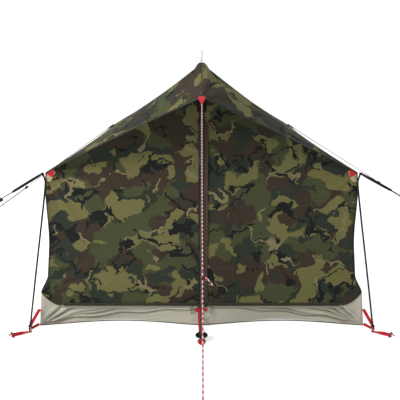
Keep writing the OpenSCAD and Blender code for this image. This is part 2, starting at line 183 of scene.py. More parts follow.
# ---------------------------------------------------------------- mesh building

class Shape:
    """Vertices and faces gathered into one mesh."""

    def __init__(self):
        self.verts, self.faces, self.uvs, self.count = [], [], [], 0

    def add(self, verts, faces, uvs):
        """uvs holds one (u, v) per vertex, in metres."""
        self.verts.append(np.asarray(verts, float).reshape(-1, 3))
        self.uvs.append(np.asarray(uvs, float).reshape(-1, 2))
        self.faces += [tuple(self.count + i for i in f) for f in faces]
        self.count += len(self.verts[-1])

    def grid(self, p, uv, flip=False):
        """Sheet of quads over a grid of points."""
        n, m = p.shape[:2]
        i, j = np.meshgrid(np.arange(n - 1), np.arange(m - 1), indexing="ij")
        a = (i * m + j).ravel()
        quads = np.stack([a, a + m, a + m + 1, a + 1], axis=1)
        if flip:
            quads = quads[:, ::-1]
        self.add(p.reshape(-1, 3), quads.tolist(), uv.reshape(-1, 2))

    def sweep(self, path, section, side=None, closed=False, scale=None):
        """Solid whose section, in (side, up) metres, follows a path."""
        path, section = np.asarray(path, float), np.asarray(section, float)
        n, m = len(path), len(section)
        if closed:
            tangent = np.roll(path, -1, axis=0) - np.roll(path, 1, axis=0)
        else:
            tangent = np.gradient(path, axis=0)
        tangent /= np.linalg.norm(tangent, axis=1, keepdims=True)
        if side is None:
            sides = [unit(np.cross(tangent[0], [0.31, 0.17, 0.93]))]
            for k in range(1, n):
                sides.append(unit(sides[-1] - tangent[k] * (sides[-1] @ tangent[k])))
            side = np.array(sides)
        else:
            side = np.broadcast_to(np.asarray(side, float), (n, 3))
            side = side - tangent * np.sum(side * tangent, axis=1, keepdims=True)
            side = side / np.linalg.norm(side, axis=1, keepdims=True)
        up = np.cross(tangent, side)
        wide = np.ones(n) if scale is None else np.asarray(scale, float)
        rings = path[:, None] + wide[:, None, None] * (
            side[:, None] * section[None, :, :1] + up[:, None] * section[None, :, 1:])
        uv = np.stack(np.broadcast_arrays(lengths(section)[None, :], lengths(path)[:, None]), axis=2)
        faces = []
        for k in range(n if closed else n - 1):
            for q in range(m):
                a, b = k * m, (k + 1) % n * m
                faces.append((a + q, a + (q + 1) % m, b + (q + 1) % m, b + q))
        if not closed:
            faces += [tuple(reversed(range(m))), tuple(range((n - 1) * m, n * m))]
        self.add(rings, faces, uv)

    def lathe(self, profile, centre):
        """Upright solid of revolution. Its (radius, height) points end on the axis or where they began."""
        steps = 32
        z = np.array([0, 0, 1.0])
        x = unit(np.cross(z, [0.3, 1, 0.1]))
        y = np.cross(z, x)
        turn = np.linspace(0, 2 * np.pi, steps, endpoint=False)
        round_ = np.cos(turn)[:, None] * x + np.sin(turn)[:, None] * y
        profile = np.asarray(profile, float)
        rings = centre + profile[:, 0][:, None, None] * round_ + profile[:, 1][:, None, None] * z
        n = len(profile)
        faces = [(k * steps + q, k * steps + (q + 1) % steps, (k + 1) * steps + (q + 1) % steps,
                  (k + 1) * steps + q) for k in range(n - 1) for q in range(steps)]
        if np.hypot(*(profile[0] - profile[-1])) < 1e-6:
            faces = [tuple(i % ((n - 1) * steps) for i in f) for f in faces]
            rings = rings[:-1]
        along = np.arange(len(rings))[:, None] * 0.002
        uv = np.stack(np.broadcast_arrays(turn[None, :] * 0.01, along), axis=2)
        self.add(rings, faces, uv)

    def bar(self, low, high):
        """Small box, for coil teeth and stitches."""
        lo, hi = np.asarray(low, float), np.asarray(high, float)
        p = np.array([[(lo, hi)[i][0], (lo, hi)[j][1], (lo, hi)[k][2]]
                      for i in (0, 1) for j in (0, 1) for k in (0, 1)])
        faces = [(0, 1, 3, 2), (4, 6, 7, 5), (0, 4, 5, 1), (2, 3, 7, 6), (0, 2, 6, 4), (1, 5, 7, 3)]
        self.add(p, faces, p[:, :2] * 0)

    def build(self, name, materials, slot=None, body=None, replaces=(), closed=True, merge=0.0):
        """Makes the piece, riding on a body and standing in for CAD nodes. The slot it is given is not used.
        """
        mesh = bpy.data.meshes.new(name)
        verts = np.concatenate(self.verts)
        mesh.from_pydata(verts.tolist(), [], self.faces)
        uv = np.concatenate(self.uvs)
        loops = np.zeros(len(mesh.loops), int)
        mesh.loops.foreach_get("vertex_index", loops)
        layer = mesh.uv_layers.new(name="UVMap")
        layer.data.foreach_set("uv", uv[loops].astype(np.float32).ravel())
        if closed or merge:
            work = bmesh.new()
            work.from_mesh(mesh)
            if merge:
                bmesh.ops.remove_doubles(work, verts=work.verts, dist=merge)
            if closed:
                bmesh.ops.recalc_face_normals(work, faces=work.faces)
            work.to_mesh(mesh)
            work.free()
        mesh.polygons.foreach_set("use_smooth", [True] * len(mesh.polygons))
        obj = bpy.data.objects.new(name, mesh)
        bpy.context.scene.collection.objects.link(obj)
        for m in materials if isinstance(materials, (list, tuple)) else [materials]:
            mesh.materials.append(m)
        if closed:
            mesh.shade_smooth()
            mesh.set_sharp_from_angle(angle=math.radians(50))
        if replaces:
            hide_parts(*replaces)
        if body:
            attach(obj, body)
        return obj


def solidify(obj):
    """Gives a sheet its thickness, on its inner side."""
    m = obj.modifiers.new("thickness", "SOLIDIFY")
    m.thickness = CLOTH_T
    m.offset = -1
    m.use_rim = True
    m.material_offset = 1
    m.material_offset_rim = 1


def drill(obj, cutter):
    """Cuts the holes given as a closed Shape out of a closed piece."""
    tool = cutter.build("drill", [], closed=True)
    cut = obj.modifiers.new("holes", "BOOLEAN")
    cut.operation, cut.solver, cut.object = "DIFFERENCE", "EXACT", tool
    bpy.context.view_layer.update()
    done = bpy.data.meshes.new_from_object(obj.evaluated_get(bpy.context.evaluated_depsgraph_get()))
    obj.modifiers.clear()
    obj.data = done
    bpy.data.objects.remove(tool)
    done.set_sharp_from_angle(angle=math.radians(50))


def flat_section(width, thick, bulge=0.0):
    """Webbing's section, with rounded edges."""
    w, t = width / 2, thick / 2
    turn = np.linspace(-np.pi / 2, np.pi / 2, 5)
    right = [(w - t + t * math.cos(a), t * math.sin(a)) for a in turn]
    top = [(w * k, t + bulge * (1 - k * k)) for k in (0.5, 0, -0.5)]
    left = [(-x, -z) for x, z in right]
    low = [(-x, -t + bulge * (1 - (x / w) ** 2)) for x, z in top]
    return right + top + left + low


def round_section(r, steps=10):
    """Rope's or wire's section."""
    cos, sin = turns(steps)
    return np.hstack([r * cos, r * sin])


def mirror(p, sx, sy):
    """Points of the right front quarter, on the side and at the end that the factors name."""
    return np.asarray(p, float) * [sx, sy, 1]


# ---------------------------------------------------------------- materials

def colour(r, g, b):
    """Display colour, 0 to 255, as linear RGBA."""
    linear = lambda c: c / 255 / 12.92 if c <= 10 else ((c / 255 + 0.055) / 1.055) ** 2.4
    return linear(r), linear(g), linear(b), 1


class Graph:
    """Short names for the shader nodes of one material."""

    def __init__(self, name, roughness=0.7, metallic=0.0, specular=0.3):
        self.mat = bpy.data.materials.new(name)
        self.mat.use_nodes = True
        self.tree = self.mat.node_tree
        self.out = self.tree.nodes["Principled BSDF"].inputs
        self.out["Roughness"].default_value = roughness
        self.out["Metallic"].default_value = metallic
        self.out["Specular IOR Level"].default_value = specular

    def node(self, kind, **inputs):
        """New node. An input is named, or is i and its number."""
        n = self.tree.nodes.new(kind)
        for key, value in inputs.items():
            numbered = key[0] == "i" and key[1:].isdigit()
            self.feed(n.inputs[int(key[1:]) if numbered else key.replace("_", " ")], value)
        return n

    def feed(self, socket, value):
        if isinstance(value, bpy.types.NodeSocket):
            self.tree.links.new(value, socket)
        else:
            socket.default_value = value

    def set(self, name, value):
        self.feed(self.out[name], value)

    def uv(self):
        return self.node("ShaderNodeTexCoord").outputs["UV"]

    def place(self):
        return self.node("ShaderNodeTexCoord").outputs["Object"]

    def math(self, op, a, b=0.0, c=0.0):
        n = self.node("ShaderNodeMath", i0=a, i1=b, i2=c)
        n.operation = op
        return n.outputs[0]

    def vec(self, op, a, b=(0, 0, 0)):
        n = self.node("ShaderNodeVectorMath", i0=a, i1=b)
        n.operation = op
        return n.outputs[0]

    def split(self, v):
        return self.node("ShaderNodeSeparateXYZ", i0=v).outputs

    def noise(self, v, scale, detail=0.0):
        return self.node("ShaderNodeTexNoise", Vector=v, Scale=scale, Detail=detail).outputs

    def step(self, value, low, high):
        n = self.node("ShaderNodeMapRange", Value=value, From_Min=low, From_Max=high)
        n.interpolation_type = "SMOOTHSTEP"
        return n.outputs[0]

    def mix(self, share, a, b, mode="MIX"):
        n = self.tree.nodes.new("ShaderNodeMix")
        n.data_type = "RGBA"
        n.blend_type = mode
        self.feed(n.inputs[0], share)
        self.feed(n.inputs[6], a)
        self.feed(n.inputs[7], b)
        return n.outputs[2]

    def bump(self, height, strength, distance, below=None):
        n = self.node("ShaderNodeBump", Height=height, Strength=strength, Distance=distance)
        if below is not None:
            self.feed(n.inputs["Normal"], below)
        self.set("Normal", n.outputs[0])
        return n.outputs[0]

    def weave(self, v, pitch, strength, below=None):
        """Plain weave: threads that go over and under one another."""
        x, y, _ = self.split(v)
        wave = lambda a: self.math("SINE", self.math("MULTIPLY", a, 2 * math.pi / pitch))
        return self.bump(self.math("MULTIPLY", wave(x), wave(y)), strength, pitch * 0.2, below)

    def vary(self, base, v, scale, amount):
        """Makes a colour a little lighter and darker from place to place."""
        level = self.math("MULTIPLY_ADD", self.noise(v, scale, 2)[0], 2 * amount, 1 - amount)
        grey = self.node("ShaderNodeCombineXYZ", i0=level, i1=level, i2=level).outputs[0]
        return self.mix(1.0, base, grey, "MULTIPLY")


# Spacing and half width of the creases, pitch of the weave, and the print's colours and edge.
CREASE_UP, CREASE_ACROSS, CREASE_HALF = 0.145, 0.335, 0.0022
WEAVE_PITCH = 0.0011
OLIVE, MID_GREEN, BROWN = (104, 101, 62), (66, 70, 45), (57, 48, 38)
DARK_GREEN, NEAR_BLACK, BEIGE = (43, 49, 40), (22, 26, 24), (120, 112, 80)
PRINT_EDGE = 0.006

# Length of a stitch and spacing of their rows; a rope's girth, and the pitches of its strands and tracer.
STITCH, STITCH_ROWS = 0.0034, 0.0088
ROPE_ROUND, STRAND_LAY, TRACER_PITCH = 0.0141, 0.0042, 0.015


def line_near(g, value, every, half_width, wander=0.0):
    """1 on evenly spaced lines of the given half width, 0 elsewhere."""
    share = g.math("FRACT", g.math("MULTIPLY_ADD", value, 1 / every, wander))
    away = g.math("MULTIPLY", g.math("ABSOLUTE", g.math("SUBTRACT", share, 0.5)), every)
    return g.step(away, half_width, 0.0)


def creases(g, uv):
    """Mask of the folds left from packing, which fade in and out."""
    across, up, _ = g.split(uv)
    wander = g.math("MULTIPLY", g.noise(uv, 2.0)[0], 0.06)
    lines = g.math("MAXIMUM", line_near(g, up, CREASE_UP, CREASE_HALF, wander),
                   line_near(g, across, CREASE_ACROSS, CREASE_HALF, wander))
    return g.math("MULTIPLY", lines, g.step(g.noise(uv, 5.0, 1)[0], 0.38, 0.62))


def camouflage(name):
    """Printed woodland cloth: ragged shapes in green, brown, olive and near-black."""
    g = Graph(name, roughness=0.62, specular=0.12)
    uv = g.uv()

    # The print's own coordinates are the cloth's, torn at three scales so that its shapes are ragged.
    p = uv
    for scale, tear in ((9.0, (0.15, 0.12, 0)), (34.0, (0.05, 0.045, 0)), (110.0, (0.012, 0.012, 0))):
        centred = g.vec("SUBTRACT", g.noise(uv, scale, 1.0)[1], (0.5, 0.5, 0.5))
        p = g.vec("ADD", p, g.vec("MULTIPLY", centred, tear))
    p = g.vec("MULTIPLY", p, (0.95, 1.0, 1.0))
    field = lambda dx, dy, scale, detail=0.5: g.noise(g.vec("ADD", p, (dx, dy, 0)), scale, detail)[0]
    mask = lambda value, level: g.step(value, level, level + PRINT_EDGE)
    away = lambda value, level: g.math("ABSOLUTE", g.math("SUBTRACT", value, level))

    # Broad shapes first, then dark twigs and pale sprigs, which follow the edges of other fields.
    twigs = g.math("MULTIPLY", g.step(away(field(1.3, 8.8, 9.5, 1.0), 0.5), 0.03, 0.025),
                   mask(field(5.2, 2.9, 7.0), 0.5))
    sprigs = g.math("MULTIPLY", g.step(away(field(9.9, 0.4, 8.0), 0.52), 0.020, 0.015),
                    mask(field(2.4, 6.1, 9.0), 0.575))
    tone = colour(*MID_GREEN)
    for share, rgb in ((mask(field(7.7, 4.2, 7.2), 0.49), BROWN),
                       (mask(field(2.6, 1.2, 8.6, 0.9), 0.55), DARK_GREEN),
                       (mask(field(3.1, 1.7, 8.6, 0.9), 0.556), OLIVE), (twigs, NEAR_BLACK), (sprigs, BEIGE)):
        tone = g.mix(share, tone, colour(*rgb))
    fold = creases(g, uv)
    tone = g.mix(g.math("MULTIPLY", fold, 0.14), tone, colour(128, 128, 104))
    g.set("Base Color", g.vary(tone, uv, 1.8, 0.09))
    g.set("Sheen Weight", 0.03)
    g.set("Sheen Roughness", 0.5)
    g.set("Roughness", g.math("MULTIPLY_ADD", g.noise(uv, 9, 2)[0], 0.16, 0.54))
    soft = g.bump(g.noise(uv, 24, 2)[0], 0.25, 0.004)
    g.weave(uv, WEAVE_PITCH, 0.2, g.bump(fold, 0.5, 0.0015, soft))
    return g.mat


def cloth(name, rgb, pitch=WEAVE_PITCH, roughness=0.65, bumpy=0.3, crease=0.0, variation=0.06):
    """Plain woven cloth of one colour."""
    g = Graph(name, roughness=roughness, specular=0.28)
    uv = g.uv()
    base = g.vary(colour(*rgb), uv, 3.0, variation)
    below = g.bump(g.noise(uv, 20, 3)[0], bumpy, 0.004)
    if crease:
        fold = creases(g, uv)
        base = g.mix(g.math("MULTIPLY", fold, crease), base, colour(120, 116, 104))
        below = g.bump(fold, 0.6, 0.002, below)
    g.set("Base Color", base)
    g.set("Sheen Weight", 0.05)
    g.weave(uv, pitch, 0.25, below)
    return g.mat


def stitched(name, rgb, thread, rib=0.0018):
    """Webbing or tape: ribs along it, and rows of stitches along its upper face."""
    g = Graph(name, roughness=0.7, specular=0.25)
    uv = g.uv()
    x, y, _ = g.split(uv)
    ribs = g.math("SINE", g.math("MULTIPLY", x, 2 * math.pi / rib))
    grain = g.math("SINE", g.math("MULTIPLY", g.math("ADD", x, y), 2 * math.pi / (rib * 0.8)))
    dash = g.step(g.math("FRACT", g.math("MULTIPLY", y, 1 / STITCH)), 0.3, 0.36)
    stitches = g.math("MULTIPLY", dash, line_near(g, x, STITCH_ROWS, 0.0005))
    base = g.vary(colour(*rgb), uv, 40, 0.1)
    g.set("Base Color", g.mix(g.math("MULTIPLY", stitches, 0.75), base, colour(*thread)))
    below = g.bump(g.math("MULTIPLY_ADD", grain, 0.4, ribs), 0.5, 0.0003)
    g.bump(stitches, 0.8, 0.0004, below)
    g.set("Sheen Weight", 0.15)
    return g.mat


def rope_material(name, rgb, tracer=None, duty=0.45):
    """Braided rope: crossing strands, with a pale tracer that shows as beads."""
    g = Graph(name, roughness=0.75, specular=0.25)
    x, y, _ = g.split(g.uv())
    turn = g.math("MULTIPLY", x, 1 / ROPE_ROUND)
    lay = g.math("DIVIDE", y, STRAND_LAY)
    strands = lambda n: g.math("SINE", g.math("MULTIPLY", g.math("MULTIPLY_ADD", turn, n, lay), 2 * math.pi))
    plait = g.math("MAXIMUM", strands(4.0), strands(-4.0))
    # Between the strands the colour falls to 0.55 of the rope's: painted shade in the hollows of the braid.
    base = g.mix(g.step(plait, -0.2, 0.8), colour(*(c * 0.55 for c in rgb)), colour(*rgb))
    if tracer:
        phase = g.math("FRACT", g.math("MULTIPLY_ADD", turn, 0.5, g.math("DIVIDE", y, TRACER_PITCH)))
        base = g.mix(g.step(phase, duty + 0.03, duty - 0.03), base, colour(*tracer))
    g.set("Base Color", base)
    g.bump(plait, 0.7, 0.0006)
    g.set("Sheen Weight", 0.1)
    return g.mat


def painted(name, rgb, roughness=0.35, metallic=0.0, scratch=0.12, size=60):
    """Hard surface with faint scratches and uneven gloss."""
    g = Graph(name, roughness=roughness, metallic=metallic, specular=0.5)
    v = g.place()
    worn = g.step(g.noise(g.vec("MULTIPLY", v, (1, 1, 0.12)), size * 4, 3)[0], 0.6, 0.72)
    base = g.vary(colour(*rgb), v, size, 0.08)
    g.set("Base Color", g.mix(g.math("MULTIPLY", worn, scratch), base, colour(150, 148, 142)))
    g.set("Roughness", g.math("MULTIPLY_ADD", g.noise(v, size, 3)[0], 0.3, roughness - 0.12))
    g.bump(g.noise(v, size * 12, 2)[0], 0.12, 0.0003)
    return g.mat


def foam(name, rgb):
    """Dull, grainy grip."""
    g = Graph(name, roughness=0.9, specular=0.2)
    v = g.place()
    g.set("Base Color", g.vary(colour(*rgb), v, 150, 0.25))
    g.bump(g.noise(v, 900, 2)[0], 0.6, 0.0006)
    return g.mat


CAMO = camouflage("camo_cloth")
SEAM = stitched("seam_binding", (44, 46, 34), (84, 84, 62), rib=0.0012)
COATING = cloth("coating", (64, 68, 54), roughness=0.45, crease=0.2)
TUB = cloth("tub_cloth", (184, 180, 165), roughness=0.5, bumpy=0.5, crease=0.12, variation=0.09)
# Dark colour of the strip at the tub's base, which is painted shade where the tub meets the ground.
TUB_BASE_SHADE = stitched("tub_base_painted_shade", (92, 92, 78), (130, 126, 112), rib=0.0012)
FLAP = cloth("flap_cloth", (62, 52, 37), variation=0.3)
PATCH = cloth("patch_cloth", (178, 160, 128), pitch=0.0016)
TAPE = stitched("zip_tape", (22, 22, 22), (52, 52, 52), rib=0.0011)
COIL = painted("zip_coil", (30, 30, 32), roughness=0.4, scratch=0.0)
RED_WEBBING = stitched("red_webbing", (186, 24, 36), (226, 70, 76))
RED_ROPE = rope_material("guy_rope", (190, 30, 42), tracer=(232, 214, 208))
DULL_ROPE = rope_material("eave_rope", (112, 34, 38), tracer=(150, 106, 100), duty=0.25)
BLACK_CORD = rope_material("black_cord", (30, 30, 31))
RUNNER = painted("runner_plastic", (26, 26, 27), roughness=0.5, scratch=0.05)
POLE = painted("pole_paint", (20, 20, 22), roughness=0.3, scratch=0.25)
COLLAR = painted("collar_plastic", (34, 34, 36), roughness=0.55, scratch=0.05)
FOAM = foam("grip_foam", (26, 26, 27))
BASKET = painted("basket_plastic", (18, 18, 19), roughness=0.55, scratch=0.05)
STEEL = painted("pin_steel", (226, 226, 224), roughness=0.38, metallic=0.6, scratch=0.1, size=90)
RING_METAL = painted("ring_metal", (196, 192, 186), roughness=0.22, metallic=1.0, scratch=0.08, size=90)
EYELET = painted("eyelet_metal", (46, 46, 48), roughness=0.35, metallic=0.8, scratch=0.3, size=90)
SILL_TAPE = stitched("sill_tape", (52, 52, 36), (74, 74, 54), rib=0.0011)
TUB_TAPE = stitched("tub_tape", (146, 143, 128), (120, 117, 104), rib=0.0011)
SILL_COIL = painted("sill_coil", (58, 56, 46), roughness=0.45, scratch=0.0)
SILL_METAL = painted("sill_metal", (132, 128, 114), roughness=0.4, metallic=0.6, scratch=0.1, size=120)
ZIP_METAL = painted("zip_metal", (50, 50, 52), roughness=0.35, metallic=0.7, scratch=0.3, size=120)
PEG = painted("stake_metal", (104, 104, 106), roughness=0.42, metallic=0.9, scratch=0.35, size=70)

# CAD nodes that are shown as they are, with a finish and slightly rounded edges.
CARRIED = {
    ZIP_METAL: ("zip_slider", "zip_pull"),
    SILL_METAL: ("sill_slider_left", "sill_slider_right"),
    POLE: [f"{end}_pole_{part}" for end in ENDS for part in ("upper", "middle", "lower")],
    STEEL: ("pole_pins", "front_pole_tip", "rear_pole_tip"),
    RING_METAL: ("corner_rings",),
    PEG: ("corner_stakes", "guy_stakes"),
}
for finish, names in CARRIED.items():
    for name in names:
        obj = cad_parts[name]
        obj.data.materials.clear()
        obj.data.materials.append(finish)
        rounded = obj.modifiers.new("rounded", "BEVEL")
        rounded.width = 0.0006
        rounded.segments = 2
        rounded.angle_limit = math.radians(40)
        rounded.harden_normals = False


# ---------------------------------------------------------------- the surfaces of the shell
# Each is written for the right side, where x is positive, and the front, where y is negative.

def over_grip(p):
    """Lifts cloth over the flat top of a pole's grip."""
    r = np.hypot(p[..., 0], np.abs(p[..., 1]) - POLE_Y)
    flat, drop, soft = 0.015, 0.0012, 0.004
    cap = np.where(r < flat, RIDGE_Z - drop * (r / flat) ** 2, RIDGE_Z - drop - 1.6 * (r - flat))
    share = np.clip(0.5 + 0.5 * (cap - p[..., 2]) / soft, 0, 1)
    p[..., 2] = p[..., 2] * (1 - share) + cap * share + 0.25 * soft * share * (1 - share)
    return p


def roof_at(u, v):
    """Right roof at u from ridge to eave and v from front to rear."""
    u, v = np.broadcast_arrays(np.asarray(u, float), np.asarray(v, float))
    end = POLE_Y + (FLOOR_Y - POLE_Y) * u
    bow = 4 * v * (1 - v)
    x = u * (EAVE_X - EAVE_BOW * bow)
    y = (2 * v - 1) * end
    z = RIDGE_Z + u * (EAVE_Z - RIDGE_Z) - RIDGE_SAG * bow * (1 - u)
    z = z - 4 * u * (1 - u) * (RAKE_SAG + (ROOF_SAG - RAKE_SAG) * bow)
    return over_grip(np.stack([x, y, z], axis=-1))


def hem_at(u):
    """Lower edge of the right front hood, from tip to eave."""
    u = np.asarray(u, float)
    tip, eave = np.array([0, -TIP_Y, TIP_Z]), np.array([EAVE_X, -FLOOR_Y, EAVE_Z])
    p = tip + u[..., None] * (eave - tip)
    p[..., 2] += HEM_LIFT * 4 * u * (1 - u)
    p[..., 1] += 0.5 * HEM_LIFT * 4 * u * (1 - u)
    return p


def waist(z):
    """How far the walls' corner seam is drawn in at a height."""
    return WAIST * ease((0.70 - z) / 0.32) * ease((z - 0.16) / 0.09)


def rim_z(distance):
    """Height of the tub's rim at a distance from its nearest corner."""
    return TUB_Z + (CORNER_Z - TUB_Z) * np.clip(1 - distance / CORNER_RUN, 0, 1) ** 2.2


def end_wall_at(u, v):
    """Right half of the front wall, at u from the middle outwards and v from rim to roof."""
    u, v = np.broadcast_arrays(np.asarray(u, float), np.asarray(v, float))
    low_x = u * CORNER_X
    low_z = rim_z(CORNER_X - low_x)
    end = POLE_Y + (FLOOR_Y - POLE_Y) * u
    top = roof_at(u, 0.5 - 0.5 * FLOOR_Y / end)
    x = low_x + (top[..., 0] - low_x) * v
    z = low_z + (top[..., 2] - 0.002 - low_z) * v
    drawn = waist(z)
    return np.stack([x - drawn * u ** 3, -FLOOR_Y + 0.45 * drawn * u ** 4, z], axis=-1)


def side_wall_at(u, v):
    """Right side wall, at u from front to rear and v from rim to eave."""
    u, v = np.broadcast_arrays(np.asarray(u, float), np.asarray(v, float))
    top = roof_at(np.ones_like(u), u)
    y = 2 * u - 1
    low_z = rim_z(FLOOR_Y - np.abs(y))
    z = low_z + (top[..., 2] - low_z) * v
    low_x = FLOOR_X - WALL_LEAN * low_z
    x = low_x + (top[..., 0] - low_x) * v
    bow = 1 - y ** 4
    drawn = waist(z)
    x = x - drawn - SIDE_SAG * bow * np.sin(np.pi * v)
    return np.stack([x, y * (1 - 0.45 * drawn * np.abs(y) ** 5), z], axis=-1)


def window(u, v, wide_u, wide_v, ends=(1, 1, 1, 1)):
    """0 at the chosen edges of a unit square and 1 well inside it."""
    out = np.ones(np.broadcast(u, v).shape)
    for on, d, wide in zip(ends, (u, 1 - u, v, 1 - v), (wide_u, wide_u, wide_v, wide_v)):
        if on:
            out = out * ease(d / wide)
    return out


def cloth_piece(name, p, uv, sx, sy, nodes, outward, merge=0.0, body="canopy"):
    """Sheet from a grid of points, with its outer side facing outward."""
    p = mirror(p, sx, sy)
    middle = normals(p)[p.shape[0] // 2, p.shape[1] // 2]
    shape = Shape()
    shape.grid(p, uv, flip=middle @ np.asarray(outward, float) < 0)
    obj = shape.build(name, [CAMO, COATING], "camo_cloth", body, nodes, closed=False, merge=merge)
    solidify(obj)
    return obj


def print_shift(seed):
    """Each panel is cut from another place in the printed cloth."""
    return np.random.default_rng(100 + seed).uniform(0, 5, 2)


# Seed offset of the hoods' print, which puts mostly brown cloth at the peak.
HOOD_PRINT_SEED = 19

# Roof, one sheet on each side of the ridge.
for side, sx in SIDES.items():
    u, v = np.meshgrid(spaced(72, 1.35), both_ends(150), indexing="ij")
    p = roof_at(u, v)
    s, t = ROOF_SLOPE * u, p[..., 1]
    seed = 11 if sx < 0 else 23
    lift = drape(s, t, seed, 0.0035)
    for y in (-1, 1):
        lift += fan(s, t, (ROOF_SLOPE, y * FLOOR_Y), 0.22, 17, 0.005, seed + 2)
        lift += fan(s, t, (0.0, y * POLE_Y), 0.16, 13, 0.004, seed + 3)
    lift += pucker(s, t, seed + 4) + pucker(ROOF_SLOPE - s, t, seed + 5)
    p = p + normals(p) * (lift * window(u, v, 0.04, 0.02))[..., None]
    uv = np.stack([t, s], axis=2) + print_shift(seed)
    cloth_piece(f"roof_{side}_cloth", p, uv, sx, 1, [f"roof_{side}"], (sx, 0, 1))

# Hoods, which carry on from the roof over the pole and down to the tip.
for end, sy in ENDS.items():
    for side, sx in SIDES.items():
        u, w = np.meshgrid(spaced(72, 1.35), spaced(22, 1.2), indexing="ij")
        rake, hem = roof_at(u[:, 0], 0.0), hem_at(u[:, 0])
        p = rake[:, None] + w[..., None] * (hem - rake)[:, None]
        p = over_grip(p)
        s, t = ROOF_SLOPE * u, HOOD_SLOPE * w * (1 - u)
        seed = 31 + 2 * sy + sx
        lift = fan(s, t, (0.0, 0.0), 0.12, 9, 0.004, seed)
        lift += fan(s, t, (0.0, HOOD_SLOPE), 0.16, 11, 0.004, seed + 7)
        lift += drape(s, t * 2, seed, 0.002) - 0.004 * np.sin(np.pi * w) * (1 - u)
        lift += fan(s, t, (ROOF_SLOPE, 0.0), 0.2, 60, 0.003, seed + 9)
        p = p + normals(p) * (lift * window(u, w, 0.04, 0.2, (1, 1, 1, 0)))[..., None]
        uv = np.stack([s, t], axis=2) + print_shift(seed + HOOD_PRINT_SEED)
        name = f"{end}_hood_{side}"
        cloth_piece(f"{name}_cloth", p, uv, sx, sy, [name], (0, -sy, 1), merge=2e-5)

# Side walls.
for side, sx in SIDES.items():
    u, v = np.meshgrid(both_ends(160), np.linspace(0, 1, 66), indexing="ij")
    p = side_wall_at(u, v)
    s, t = p[..., 1], p[..., 2]
    seed = 41 if sx < 0 else 53
    lift = drape(s, t, seed, 0.0035)
    for y in (-1, 1):
        lift += fan(s, t, (y * FLOOR_Y, EAVE_Z), 0.24, 15, 0.006, seed + 2)
        lift += fan(s, t, (y * FLOOR_Y, CORNER_Z), 0.2, 13, 0.005, seed + 3)
    lift += pucker(EAVE_Z - t, s, seed + 4) + pucker(t - TUB_Z, s, seed + 5)
    p = p + normals(p) * (lift * window(u, v, 0.02, 0.06))[..., None]
    uv = np.stack([s, t], axis=2) + print_shift(seed)
    cloth_piece(f"side_wall_{side}_cloth", p, uv, sx, 1, [f"side_wall_{side}"], (sx, 0, 0))


def end_wall(sx, seed, gap):
    """Points and print of half an end wall, whose inner edge keeps a gap from the middle."""
    u, v = np.meshgrid(np.linspace(0, 1, 88), np.linspace(0, 1, 100), indexing="ij")
    p = end_wall_at(u, v)
    p[..., 0] = np.maximum(p[..., 0], gap)
    s, t = p[..., 0], p[..., 2]
    lift = drape(s * sx, t, seed, 0.003)
    lift += fan(s, t, (EAVE_X, EAVE_Z), 0.26, 15, 0.006, seed + 2)
    lift += fan(s, t, (CORNER_X, CORNER_Z), 0.3, 15, 0.006, seed + 3)
    lift += pucker(t - TUB_Z, s, seed + 5, 0.002) + pucker(s, t, seed + 6, 0.0012)
    lift -= 0.006 * np.sin(np.pi * v) * np.sin(np.pi * u)
    p = p + normals(p) * (lift * window(u, v, 0.08, 0.07))[..., None]
    return p, np.stack([s * sx, t], axis=2) + print_shift(seed)


# Front wall: the fixed part and the door are one cloth, which does not fold; the points beside its hinge line
# are worked out but not used.
HINGE_LOW = np.array([CORNER_X, -FLOOR_Y, CORNER_Z])
HINGE_TOP = np.array([0.0, -FLOOR_Y, DOOR_TOP_Z])
FOLD = 0.022
along = unit(HINGE_TOP - HINGE_LOW)
down = np.array([-along[2], 0, along[0]])
middle = (HINGE_LOW + HINGE_TOP) / 2
for side, sx in SIDES.items():
    p, uv = end_wall(sx, 61 if sx < 0 else 73, 0.0008)
    front = cloth_piece(f"front_{side}_cloth", p, uv, sx, 1, [f"front_wall_{side}", f"door_{side}"],
                        (0, -1, 0), body=None)
    mirror(middle - down * FOLD, sx, 1).tolist()
    mirror(middle + down * FOLD, sx, 1).tolist()
    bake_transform(front)

# Rear wall, one half on each side of its seam.
for side, sx in SIDES.items():
    p, uv = end_wall(sx, 81 if sx < 0 else 93, 0.0)
    cloth_piece(f"rear_{side}_cloth", p, uv, sx, -1, [f"rear_wall_{side}"], (0, 1, 0))


# ---------------------------------------------------------------- tub floor

# Steps along a front wall, along a side wall, and down a wall; and how far the cloth lies off the ground.
NX, NY, NT = 220, 200, 26
LIE = 0.0012

# Height of the wall's cloth, for its print.
TUB_WALL = 0.17


def base_xy(x, y, front_back):
    """Where the tub's wall meets the ground: drawn in between its pegged points."""
    if front_back:
        pull = BASE_BOW * np.sin(np.pi * np.clip(np.abs(x) / FLOOR_X, 0, 1)) ** 1.3
        return x, np.sign(y) * (FLOOR_Y - pull)
    pull = BASE_BOW * (1 - y ** 2)
    return np.sign(x) * (FLOOR_X - pull), y


def corner_folds(s, t, side, seed):
    """Sharp folds that run from the floor's corner up to the rim, drawn anew for each half of a wall."""
    spread = np.random.default_rng(seed)
    out = np.zeros(np.broadcast(s, t).shape)
    for half in (side < 0, side >= 0):
        for lean in (0.95, 0.55, 0.33, 0.21, 0.13):
            lean *= spread.uniform(0.85, 1.15)
            off = (t - 0.004 - lean * s + 0.006 * np.sin(s * 30)) / math.hypot(1, lean)
            reach = TUB_Z / lean * spread.uniform(0.9, 1.2)
            depth = spread.uniform(0.6, 1.0) * 0.027 * np.exp(-((s / reach) ** 2))
            groove = -np.exp(-((off / 0.0055) ** 2)) + 0.55 * np.exp(-(((off - 0.012) / 0.008) ** 2))
            out = out + half * depth * groove
    return out


